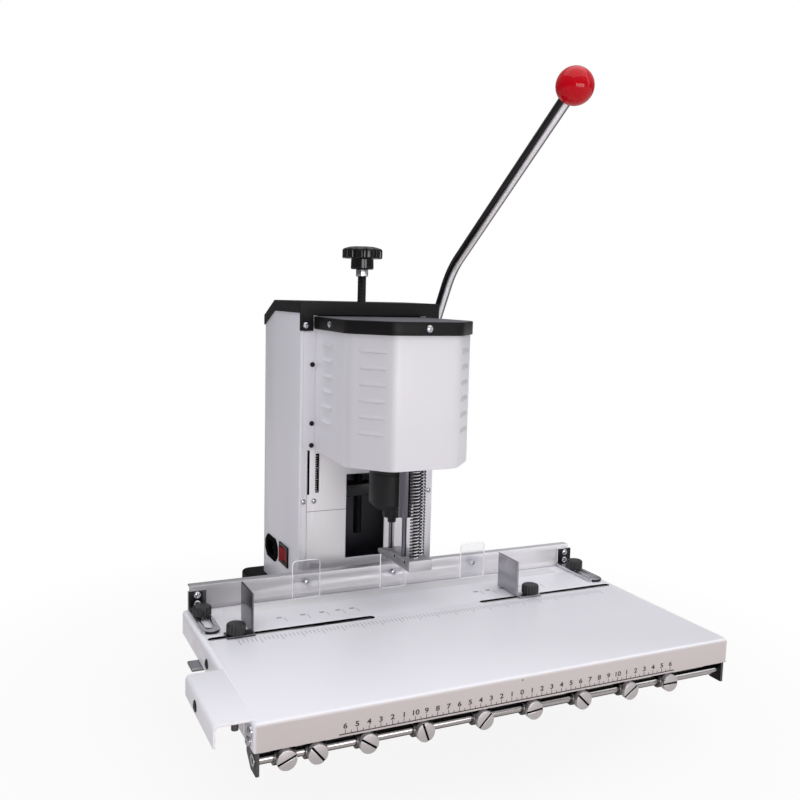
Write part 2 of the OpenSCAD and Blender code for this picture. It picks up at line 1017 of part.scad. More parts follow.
// Collar on the rail with a slotted clamp screw in front
module stop_unit(index) {
    face = rail_y - collar_d / 2;
    seat = face + clamp_seat;
    color("#c3c5ca")
        on_table()
            translate([stop_places[index] * rail_half, 0, 0]) {
                difference() {
                    rod_x(-collar_l / 2, collar_l / 2, rail_y, rail_z, collar_d);
                    rod_x(-collar_l, collar_l, rail_y, rail_z, rail_d + 2 * run_fit);
                    rod_y(face - over, rail_y, 0, rail_z, clamp_stem_d + 2 * run_fit);
                    rod_y(face - over, seat + run_fit, 0, rail_z, clamp_d + 2 * run_fit);
                }
                difference() {
                    union() {
                        rod_y(face - clamp_t, seat, 0, rail_z, clamp_d);
                        rod_y(face, rail_y - rail_d / 2 - slide_gap, 0, rail_z, clamp_stem_d);
                    }
                    translate([0, face - clamp_t, rail_z])
                        rotate([0, -stop_angles[index], 0])
                            cube([clamp_d + over, 3, clamp_slot], center = true);
                }
            }
}

module stop_1() {
    stop_unit(0);
}

module stop_2() {
    stop_unit(1);
}

module stop_3() {
    stop_unit(2);
}

module stop_4() {
    stop_unit(3);
}

module stop_5() {
    stop_unit(4);
}

module stop_6() {
    stop_unit(5);
}

module stop_7() {
    stop_unit(6);
}

module stop_8() {
    stop_unit(7);
}

module stop_9() {
    stop_unit(8);
}

// Side guide whose upright stands at X = 0, with its foot and key towards +X
module side_guide(x, side) {
    color("#d9dade")
        on_table()
            translate([x, 0, 0])
                on_side(side)
                    difference() {
                        union() {
                            span([0, slot_y, slide_gap], [guide_t, slot_y + guide_l, guide_h]);
                            span(
                                [0, slot_y - guide_foot_w / 2, slide_gap],
                                [guide_foot_l, slot_y + guide_foot_w / 2, slide_gap + guide_t]
                            );
                            guide_key();
                        }
                        rod_z(-sheet_t - 2 * key_shoe_h, guide_t + over, guide_knob_gap, slot_y,
                            guide_screw_d + 2 * run_fit);
                    }
}

// Key in the table slot with a shoe below the sheet
module guide_key() {
    neck_w = slot_w - 2 * slide_gap;
    from = guide_knob_gap - key_l / 2;
    to = from + key_l;
    shoe_z = -sheet_t - slide_gap;
    span([from, slot_y - neck_w / 2, shoe_z], [to, slot_y + neck_w / 2, slide_gap]);
    span(
        [from, slot_y - key_shoe_w / 2, shoe_z - key_shoe_h],
        [to, slot_y + key_shoe_w / 2, shoe_z]
    );
}

module side_guide_left() {
    side_guide(guide_left_x, -1);
}

module side_guide_right() {
    side_guide(guide_right_x, 1);
}

// Grooved clamp knob standing on Z = 0 with its screw below
module clamp_knob(stem_d, stem_l) {
    color("#1a1a1c") {
        difference() {
            cylinder(h = knob_h, d = knob_d);
            for (index = [0:knob_grooves - 1])
                rotate([0, 0, index * 360 / knob_grooves])
                    translate([knob_d / 2 + groove_out, 0, groove_low])
                        cylinder(h = knob_h, d = groove_d);
        }
        translate([0, 0, -stem_l])
            cylinder(h = stem_l, d = stem_d);
    }
}

module guide_knob(x) {
    seat = guide_t + 2 * slide_gap;
    on_table()
        translate([x, slot_y, seat])
            clamp_knob(guide_screw_d, seat + sheet_t + key_shoe_h);
}

module guide_knob_left() {
    guide_knob(guide_left_x - guide_knob_gap);
}

module guide_knob_right() {
    guide_knob(guide_right_x + guide_knob_gap);
}

// Fence and what it carries
module fence() {
    color("#d3d5da")
        on_table()
            difference() {
                union() {
                    span([-fence_half, fence_back, slide_gap], [fence_half, fence_back + fence_t, fence_h]);
                    span(
                        [-fence_half, fence_back, fence_h - fence_t],
                        [fence_half, fence_back + fence_lip, fence_h]
                    );
                }
                fence_screw_places()
                    screw();
            }
}

// Places of the dome screws on the brackets and on the clear stops
module fence_screw_places() {
    for (side = [-1, 1], z = fence_screw_z)
        translate([side * bracket_x, fence_back - bracket_t, z])
            facing_front()
                children();
    for (x = clear_places)
        translate([x, fence_back - clear_t, clear_screw_z])
            facing_front()
                children();
}

module fence_screws() {
    color("#c3c5ca")
        on_table()
            fence_screw_places()
                screw();
}

module fence_brackets() {
    color("#b4b6bb")
        on_table()
            difference() {
                for (side = [-1, 1])
                    translate([side * bracket_x, 0, slide_gap])
                        bracket();
                fence_screw_places()
                    screw();
            }
}

// Bracket with an upright leg and a slotted foot that runs forward
module bracket() {
    tip = bracket_tip + bracket_w / 2;
    slot_far = fence_knob_y - fence_travel;
    difference() {
        union() {
            span([-bracket_w / 2, fence_back - bracket_t, 0], [bracket_w / 2, fence_back, bracket_h]);
            span([-bracket_w / 2, tip, 0], [bracket_w / 2, fence_back, bracket_t]);
            rod_z(0, bracket_t, 0, tip, bracket_w);
        }
        span([-fence_slot_w / 2, slot_far, -over], [fence_slot_w / 2, fence_knob_y, bracket_t + over]);
        rod_z(-over, bracket_t + over, 0, slot_far, fence_slot_w);
        rod_z(-over, bracket_t + over, 0, fence_knob_y, fence_slot_w);
    }
}

module clear_stops() {
    color("#dfe9ec", 0.5)
        on_table()
            difference() {
                for (x = clear_places)
                    translate([x, fence_back, clear_h / 2 + slide_gap])
                        rotate([90, 0, 0])
                            linear_extrude(clear_t)
                                round_plate(clear_w, clear_h, clear_corner);
                fence_screw_places()
                    screw();
            }
}

module fence_knob(side) {
    seat = bracket_t + 2 * slide_gap;
    on_table()
        translate([side * bracket_x, fence_knob_y, seat])
            clamp_knob(knob_screw_d, seat + sheet_t + boss_h);
}

module fence_knob_left() {
    fence_knob(-1);
}

module fence_knob_right() {
    fence_knob(1);
}

// Carriage on the columns: block, arm, motor ring and nose for the presser
module carriage() {
    color("#55565c")
        difference() {
            union() {
                span([-block_x, block_y[0], block_z0], [block_x, block_y[1], arm_z[1]]);
                span([-ring_d / 2, 0, arm_z[0]], [ring_d / 2, block_y[1] - over, arm_z[1]]);
                rod_z(arm_z[0], arm_z[1], 0, 0, ring_d);
                span([-nose_x, nose_y[0], nose_low], [nose_x, nose_y[1], arm_z[1]]);
            }
            rod_z(nose_low - over, arm_z[1] + over, 0, 0, motor_d);
            for (side = [-1, 1])
                rod_z(block_z0 - over, arm_z[1] + over, side * column_x, column_y, column_d + 2 * run_fit);
            rod_z(block_z0 - over, arm_z[1] + over, 0, depth_y, depth_hole_d);
            span(
                [rack_x[0] - rack_room, rack_front, arm_z[0]],
                [rack_x[1] + rack_room, block_y[1] + over, arm_z[1] + over]
            );
            rod_z(nose_low - over, arm_z[1] + over, tube_at[0], tube_at[1], tube_d);
            for (spot = spring_spots)
                rod_z(nose_low - over, arm_z[1] + over, spot[0], spot[1], rod_d + 2 * run_fit);
        }
}

// Toothed rack whose pitch line is tangent to the pinion
module rack() {
    low = arm_z[0];
    high = pivot_z + stroke + 10;
    teeth = floor((high - pivot_z) / tooth_pitch) - 1;
    color("#8a8c92")
        translate([rack_x[0], 0, 0])
            rotate([90, 0, 90])
                linear_extrude(rack_x[1] - rack_x[0])
                    union() {
                        translate([rack_front, low])
                            square([rack_line - tooth_root - rack_front, high - low]);
                        for (index = [-2:teeth])
                            translate([rack_line, pivot_z + (index + 0.5) * tooth_pitch])
                                rack_tooth();
                    }
}

module rack_tooth() {
    polygon([
        [-tooth_root - tooth_sink, -tooth_half - tooth_root * tooth_lean],
        [tooth_tip, -tooth_half + tooth_tip * tooth_lean],
        [tooth_tip, tooth_half - tooth_tip * tooth_lean],
        [-tooth_root - tooth_sink, tooth_half + tooth_root * tooth_lean]
    ]);
}

// Return spring between the carriage and the frame, out of sight in the tower
module return_spring() {
    color("#9b9da3")
        difference() {
            rod_z(arm_z[1], frame_top[0], spring_at[0], spring_at[1], return_d);
            rod_z(arm_z[1] - over, frame_top[0] + over, spring_at[0], spring_at[1], return_bore);
        }
}

module motor_body() {
    color("#17171a")
        difference() {
            union() {
                rod_z(motor_z[0], motor_z[1], 0, 0, motor_d);
                translate([0, 0, motor_end[1]])
                    cylinder(h = motor_z[0] - motor_end[1], d1 = 2 * motor_end[0], d2 = motor_d);
            }
            rod_z(motor_end[1] - over, motor_z[1] + over, 0, 0, spindle_d + 2 * run_fit);
        }
}

module presser_tube() {
    color("#ced1d6")
        difference() {
            rod_z(tube_low, tube_high, tube_at[0], tube_at[1], tube_d);
            rod_z(tube_low - over, tube_high + over, tube_at[0], tube_at[1], rod_d + 2 * run_fit);
        }
}

// Hollow spindle with its collet and nose
module spindle() {
    color("#26262a")
        difference() {
            union() {
                rod_z(collet_z, spindle_top, 0, 0, spindle_d);
                rod_z(collet_z, motor_end[1] - slide_gap, 0, 0, collet_d);
                translate([0, 0, nose_z])
                    cylinder(h = collet_z - nose_z, d1 = nose_d, d2 = nose_d + 1);
            }
            rod_z(nose_z - over, nose_z + bit_seat, 0, 0, bit_d);
            rod_z(nose_z, spindle_top + over, 0, 0, bit_bore);
        }
}

module drill_bit() {
    color("#b7bac0")
        difference() {
            rod_z(bit_tip, nose_z + bit_seat, 0, 0, bit_d);
            rod_z(bit_tip - over, nose_z + bit_seat + over, 0, 0, bit_bore);
        }
}

// Presser foot with its thin sloping back
module presser_foot() {
    half = presser_w / 2;
    color("#c4c5c9")
        difference() {
            plate_x(-half, half)
                polygon([
                    [presser_front, presser_z],
                    [presser_back, presser_z],
                    [presser_back, presser_z + presser_thin],
                    [presser_slope, presser_top],
                    [presser_front, presser_top]
                ]);
            rod_z(presser_z - over, presser_top + over, 0, 0, bit_d + 2 * bit_clear);
            for (spot = concat([tube_at], spring_spots))
                rod_z(presser_z + rod_seat, presser_top + over, spot[0], spot[1], rod_d);
            for (y = side_holes)
                rod_x(-half - over, -half + side_hole[1], y, presser_top - side_hole[2], side_hole[0]);
        }
}

module presser_rods() {
    color("#ced1d6") {
        rod_z(presser_z + rod_seat, tube_high - presser_travel / 2, tube_at[0], tube_at[1], rod_d);
        for (spot = spring_spots)
            rod_z(presser_z + rod_seat, rod_high, spot[0], spot[1], rod_d);
    }
}

// Presser springs: a helix whose ends turn upright over a small arc and stand square on their seats
spring_r = spring_d / 2;
spring_l = nose_low - presser_top;
end_arc = 1.6;
end_steps = 3;
ring_steps = 8;
ring_sides = 6;
helix_z0 = wire_d + end_arc;
helix_rise = spring_l - 2 * helix_z0;
helix_steps = spring_turns * ring_steps;
arc_turn = end_arc / spring_r * 180 / PI;

// Point on the spring's cylinder at a turn angle and a height
function on_spring(turn, z) = [spring_r * cos(turn), spring_r * sin(turn), z];

function end_points() = [
    for (step = [0:end_steps - 1])
        let (bend = 90 * step / end_steps)
            on_spring(arc_turn * (1 - cos(bend)), wire_d + end_arc * sin(bend))
];

function turned_end(total) = [
    for (index = [end_steps - 1:-1:0])
        let (bend = 90 * index / end_steps)
            on_spring(total - arc_turn * (1 - cos(bend)), spring_l - wire_d - end_arc * sin(bend))
];

helix_turn = 360 * spring_turns;
spring_path = concat(
    [on_spring(0, 0)],
    end_points(),
    [
        for (step = [0:helix_steps])
            let (share = step / helix_steps)
                on_spring(arc_turn + helix_turn * share, helix_z0 + helix_rise * share)
    ],
    turned_end(helix_turn + 2 * arc_turn),
    [on_spring(helix_turn + 2 * arc_turn, spring_l)]
);
path_end = len(spring_path) - 1;

function unit(v) = v / norm(v);

// Direction of the path at a point; both ends are upright
function path_way(i) = i == 0 || i == path_end
    ? [0, 0, 1]
    : unit(unit(spring_path[i + 1] - spring_path[i]) + unit(spring_path[i] - spring_path[i - 1]));

// Ring of points round the path, with one side always pointing away from the axis
function ring_at(i) = let (
    point = spring_path[i],
    way = path_way(i),
    out = unit([point[0], point[1], 0]),
    flat = unit(out - (out * way) * way),
    across = cross(way, flat)
) [
    for (side = [0:ring_sides - 1])
        let (angle = 360 * side / ring_sides)
            point + wire_d / 2 * (cos(angle) * flat + sin(angle) * across)
];

spring_points = concat(
    [for (i = [0:path_end]) each ring_at(i)],
    [spring_path[0], spring_path[path_end]]
);
base_tip = len(spring_points) - 2;
spring_faces = concat(
    [
        for (i = [0:path_end - 1], side = [0:ring_sides - 1])
            let (
                a = i * ring_sides + side,
                b = i * ring_sides + (side + 1) % ring_sides
            )
                each [[a, a + ring_sides, b], [b, a + ring_sides, b + ring_sides]]
    ],
    [for (side = [0:ring_sides - 1]) [base_tip, side, (side + 1) % ring_sides]],
    [
        for (side = [0:ring_sides - 1])
            let (last = path_end * ring_sides)
                [base_tip + 1, last + (side + 1) % ring_sides, last + side]
    ]
);

// Least gap between points of the wire that are more than half a curl apart
half_curl = ring_steps / 2 + end_steps + 1;
spring_gap = min([
    for (i = [0:path_end - half_curl], j = [i + half_curl:min(i + 3 * ring_steps, path_end)])
        norm(spring_path[j] - spring_path[i]) - wire_d
]);
echo(spring_gap = spring_gap);

module presser_springs() {
    color("#a9abb0")
        for (spot = spring_spots)
            translate([spot[0], spot[1], presser_top])
                polyhedron(points = spring_points, faces = spring_faces);
}

// Lever shaft with its pinion and the boss that takes the lever
module pinion_shaft() {
    color("#a4a7ad")
        difference() {
            union() {
                rod_x(shaft_x[0], boss_x[1], pivot_y, pivot_z, shaft_d);
                rod_x(boss_x[0], boss_x[1], pivot_y, pivot_z, lever_boss_d);
                translate([rack_x[0], pivot_y, pivot_z])
                    rotate([90, 0, 90])
                        linear_extrude(rack_x[1] - rack_x[0])
                            pinion_outline();
            }
            lever_way()
                cylinder(h = lever_boss_d, d = lever_d);
        }
}

// Stands its children on the lever's seat, pointing along the lower length of the lever
module lever_way() {
    translate([lever_x, pivot_y, pivot_z])
        rotate([atan2(-lever_bend[0], lever_bend[1]), 0, 0])
            translate([0, 0, lever_seat])
                children();
}

// Straight-sided pinion teeth, with a tooth gap facing the rack
module pinion_outline() {
    step = 360 / pinion_teeth;
    root_half = tooth_half + tooth_root * pinion_leans[0];
    tip_half = tooth_half - tooth_tip * pinion_leans[1];
    circle(r = pitch_r - tooth_root);
    for (index = [0:pinion_teeth - 1])
        rotate([0, 0, 180 + index * step])
            polygon([
                [pitch_r - tooth_root - tooth_sink, -root_half],
                [pitch_r, -tooth_half],
                [pitch_r + tooth_tip, -tip_half],
                [pitch_r + tooth_tip, tip_half],
                [pitch_r, tooth_half],
                [pitch_r - tooth_root - tooth_sink, root_half]
            ]);
}

module lever_rod() {
    upper = lever_end - lever_bend;
    turn = atan2(upper[1], upper[0]) - atan2(lever_bend[1], lever_bend[0]);
    trim = lever_radius * tan(turn / 2);
    lower = norm(lever_bend) - lever_seat - trim;
    color("#c9ccd2") {
        lever_way() {
            cylinder(h = lower, d = lever_d);
            translate([0, -lever_radius, lower])
                rotate([90, 0, 90])
                    rotate_extrude(angle = turn)
                        translate([lever_radius, 0])
                            circle(d = lever_d);
        }
        translate([lever_x, pivot_y + lever_bend[0], pivot_z + lever_bend[1]])
            rotate([atan2(-upper[0], upper[1]), 0, 0])
                translate([0, 0, trim])
                    cylinder(h = norm(upper) - ball_seat - trim, d = lever_d);
    }
}

module lever_ball() {
    upper = lever_end - lever_bend;
    color("#c01820")
        translate([lever_x, pivot_y + lever_end[0], pivot_z + lever_end[1]])
            rotate([atan2(-upper[0], upper[1]), 0, 0])
                difference() {
                    sphere(d = ball_d);
                    translate([0, 0, -ball_d])
                        cylinder(h = ball_d - ball_seat, d = lever_d);
                }
}

// Depth screw with its lock nut, star knob and travelling stop nut
module depth_screw() {
    color("#1d1d20")
        translate([0, depth_y, 0]) {
            rod_z(depth_z[0], depth_z[1], 0, 0, depth_d);
            rod_z(lock_nut_z[0], lock_nut_z[1], 0, 0, lock_nut_d);
        }
}

module depth_knob() {
    color("#1a1a1c")
        translate([0, depth_y, 0])
            difference() {
                union() {
                    rod_z(lock_nut_z[1], hub_z, 0, 0, hub_d);
                    rod_z(hub_z, star_z, 0, 0, star_d);
                    translate([0, 0, star_z])
                        cylinder(h = dome_h, d1 = star_d - 2 * dome_inset, d2 = star_d / 2);
                }
                rod_z(lock_nut_z[1] - over, depth_z[1], 0, 0, depth_d);
                for (index = [0:star_flutes - 1])
                    rotate([0, 0, index * 360 / star_flutes])
                        rod_z(hub_z - over, star_z + over, star_d / 2 + flute_out, 0, flute_d);
            }
}

module depth_nut() {
    color("#8f9196")
        translate([0, depth_y, 0])
            difference() {
                span([-nut_w[0] / 2, -nut_w[1] / 2, nut_z1 - nut_h], [nut_w[0] / 2, nut_w[1] / 2, nut_z1]);
                rod_z(nut_z1 - nut_h - over, nut_z1 + over, 0, 0, depth_d + 2 * run_fit);
            }
}

base_box();
rubber_feet();
table_carrier();
index_pin();
tower_shell();
front_panel();
rear_cover();
top_cover();
head_cover();
head_cap();
guide_columns();
inner_frame();
shaft_bushes();
power_inlet();
switch_bezel();
switch_rocker();
cover_screws();
table_top();
table_handle();
slide_bars();
stop_rail();
rail_plates();
table_screws();
drill_pad();
stop_1();
stop_2();
stop_3();
stop_4();
stop_5();
stop_6();
stop_7();
stop_8();
stop_9();
side_guide_left();
side_guide_right();
guide_knob_left();
guide_knob_right();
fence();
fence_brackets();
fence_screws();
clear_stops();
fence_knob_left();
fence_knob_right();
carriage();
rack();
return_spring();
motor_body();
presser_tube();
spindle();
drill_bit();
presser_foot();
presser_rods();
presser_springs();
pinion_shaft();
lever_rod();
lever_ball();
depth_screw();
depth_knob();
depth_nut();
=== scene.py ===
import json
import math

import bmesh
import bpy
import numpy as np
from mathutils import Matrix

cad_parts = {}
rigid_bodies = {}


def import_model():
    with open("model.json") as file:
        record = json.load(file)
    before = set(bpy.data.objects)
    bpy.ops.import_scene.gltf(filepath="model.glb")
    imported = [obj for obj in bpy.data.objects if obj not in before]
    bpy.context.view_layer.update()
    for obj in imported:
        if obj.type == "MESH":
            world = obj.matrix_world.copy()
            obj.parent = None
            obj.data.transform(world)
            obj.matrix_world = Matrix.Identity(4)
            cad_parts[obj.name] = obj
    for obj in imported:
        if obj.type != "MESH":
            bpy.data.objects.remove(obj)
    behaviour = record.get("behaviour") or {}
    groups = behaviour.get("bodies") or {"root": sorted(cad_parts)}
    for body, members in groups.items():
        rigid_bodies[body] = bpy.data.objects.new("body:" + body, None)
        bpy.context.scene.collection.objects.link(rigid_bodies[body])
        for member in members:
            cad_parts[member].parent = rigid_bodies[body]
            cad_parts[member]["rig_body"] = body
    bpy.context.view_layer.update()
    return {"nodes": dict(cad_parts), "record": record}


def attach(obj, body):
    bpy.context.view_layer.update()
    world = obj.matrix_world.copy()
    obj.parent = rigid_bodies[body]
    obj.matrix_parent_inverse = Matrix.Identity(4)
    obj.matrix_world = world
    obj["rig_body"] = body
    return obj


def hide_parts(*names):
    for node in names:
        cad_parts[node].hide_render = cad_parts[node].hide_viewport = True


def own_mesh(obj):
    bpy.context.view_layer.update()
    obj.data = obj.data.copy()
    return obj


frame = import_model()
mm = 0.001  # pieces are worked out in millimetres and stored in metres
scene = bpy.context.scene
scene.view_settings.view_transform = "Standard"


# camera at the photograph's view
view = {"at": (-393.4, -855.8, 317.3), "pan": 25.03, "tilt": 6.71, "roll": 1.434, "lens": 40.75,
        "sensor": 36.0}
pan, tilt, roll = (math.radians(view[k]) for k in ("pan", "tilt", "roll"))
ahead = np.array([math.sin(pan) * math.cos(tilt), math.cos(pan) * math.cos(tilt), -math.sin(tilt)])
level = np.array([math.cos(pan), -math.sin(pan), 0.0])
rise = np.cross(level, ahead)
right = math.cos(roll) * level + math.sin(roll) * rise
upward = math.cos(roll) * rise - math.sin(roll) * level
lensData = bpy.data.cameras.new("photoCamera")
lensData.lens, lensData.sensor_width, lensData.sensor_fit = view["lens"], view["sensor"], "HORIZONTAL"
lensData.clip_start, lensData.clip_end = 0.01, 60.0
camera = bpy.data.objects.new("photoCamera", lensData)
scene.collection.objects.link(camera)
turned = np.eye(4)
turned[:3, 0], turned[:3, 1], turned[:3, 2] = right, upward, -ahead
turned[:3, 3] = np.array(view["at"]) * mm
camera.matrix_world = Matrix(turned.tolist())
scene.camera = camera
print("camera placed")


# shader sockets that can be added, multiplied and so on
class Wire:
    def __init__(self, tree, socket=None):
        self.tree, self.socket = tree, socket

    # any node: its type, its settings, then the values or links of its sockets
    def add(self, kind, settings=None, links=None, out=0):
        node = self.tree.nodes.new(kind)
        for key, value in (settings or {}).items():
            if key == "stops":
                ramp = node.color_ramp.elements
                while len(ramp) < len(value):
                    ramp.new(0.5)
                for stop, (place, tone) in zip(ramp, value):
                    stop.position, stop.color = place, (*tone, 1.0)
            else:
                setattr(node, key, value)
        for key, value in (links or {}).items():
            if isinstance(value, Wire):
                self.tree.links.new(value.socket, node.inputs[key])
            else:
                node.inputs[key].default_value = value
        return Wire(self.tree, node.outputs[out])

    def sum(self, how, *values):
        return self.add("ShaderNodeMath", {"operation": how}, dict(enumerate(values)))

    def __add__(self, other):
        return self.sum("ADD", self, other)

    def __radd__(self, other):
        return self.sum("ADD", other, self)

    def __sub__(self, other):
        return self.sum("SUBTRACT", self, other)

    def __rsub__(self, other):
        return self.sum("SUBTRACT", other, self)

    def __mul__(self, other):
        return self.sum("MULTIPLY", self, other)

    def clip(self, low, high):
        return self.add("ShaderNodeClamp", None, {"Value": self, "Min": low, "Max": high})

    def blend(self, one, two):
        return self.add("ShaderNodeMix", {"data_type": "RGBA"}, {"Factor": self, 6: one, 7: two}, 2)


def linear(red, green, blue):
    # written 0..255 screen colour to the linear colour that the shader takes
    tone = np.array([red, green, blue]) / 255.0
    return tuple(float(t) for t in np.where(tone <= 0.04045, tone / 12.92, ((tone + 0.055) / 1.055) ** 2.4))


paintedShadeEdge = -0.2388  # Y in metres where the painted shade on the table's front begins


# a surface finish: cloudy colour and gloss, a fine grain and, if wanted, streaks along one axis, and painted
# shade, highlights and reflections
def finish(name, tone, rough, metal=0.0, shade=0.94, cloud=9.0, grain=900.0, bite=0.05, uneven=0.06,
           streak=None, scratch=0.0, paintedFrontShade=None, paintedLightBands=None, fixed=None):
    material = bpy.data.materials.new(name)
    material.use_nodes = True
    tree = material.node_tree
    shader = tree.nodes["Principled BSDF"]
    sheet = Wire(tree)
    place = sheet.add("ShaderNodeTexCoord", None, None, "Object")
    soft = sheet.add("ShaderNodeTexNoise", None, {"Vector": place, "Scale": cloud, "Detail": 4.0})
    fine = sheet.add("ShaderNodeTexNoise", None, {"Vector": place, "Scale": grain, "Detail": 2.0})
    darker = tuple(t * shade for t in tone)
    colour = soft.blend((*tone, 1.0), (*darker, 1.0))
    gloss = rough + (soft - 0.5) * (2 * uneven) + (fine - 0.5) * uneven
    height = fine
    if streak:
        drawn = sheet.add("ShaderNodeMapping", None, {"Vector": place, "Scale": streak})
        lines = sheet.add("ShaderNodeTexNoise", None, {"Vector": drawn, "Scale": 1.0, "Detail": 3.0})
        gloss = gloss + (lines - 0.5) * (3 * uneven)
        height = fine * 0.3 + lines
        dull = tuple(t * (1 - 1.6 * (1 - shade)) for t in tone)
        colour = (lines * 1.2 - 0.1).clip(0.0, 1.0).blend((*dull, 1.0), (*tone, 1.0))
    if scratch:
        web = sheet.add("ShaderNodeTexVoronoi", {"feature": "DISTANCE_TO_EDGE"},
                        {"Vector": place, "Scale": 60.0})
        marks = (1 - (web * 60).clip(0.0, 1.0)) * soft
        gloss = gloss + marks * scratch
    # painted shade: the table's front edge takes a darker, warmer tone in front of the edge line
    if paintedFrontShade:
        y = sheet.add("ShaderNodeSeparateXYZ", None, {0: place}, 1)
        colour = ((paintedShadeEdge - y) * 900).clip(0.0, 1.0).blend(colour, (*paintedFrontShade, 1.0))
    if paintedLightBands:
        # painted light: the tone is multiplied by a ramp along one direction of the normal or of the place,
        # standing in for shade, highlights and reflections
        source, along, stops = paintedLightBands
        facing = sheet.add("ShaderNodeTexCoord", None, None, source)
        side = sheet.add("ShaderNodeVectorMath", {"operation": "DOT_PRODUCT"}, {0: facing, 1: along}, "Value")
        greys = [(at, (t, t, t)) for at, t in stops]
        share = sheet.add("ShaderNodeValToRGB", {"stops": greys}, {0: side * 0.5 + 0.5})
        colour = sheet.add("ShaderNodeMix", {"data_type": "RGBA", "blend_type": "MULTIPLY"},
                           {"Factor": 1.0, 6: colour, 7: share}, 2)
    bump = sheet.add("ShaderNodeBump", None, {"Height": height, "Strength": bite, "Distance": 0.0004})
    tree.links.new(colour.socket, shader.inputs["Base Color"])
    tree.links.new(gloss.clip(0.02, 1.0).socket, shader.inputs["Roughness"])
    tree.links.new(bump.socket, shader.inputs["Normal"])
    shader.inputs["Metallic"].default_value = metal
    for key, value in (fixed or {}).items():
        shader.inputs[key].default_value = value
    return material


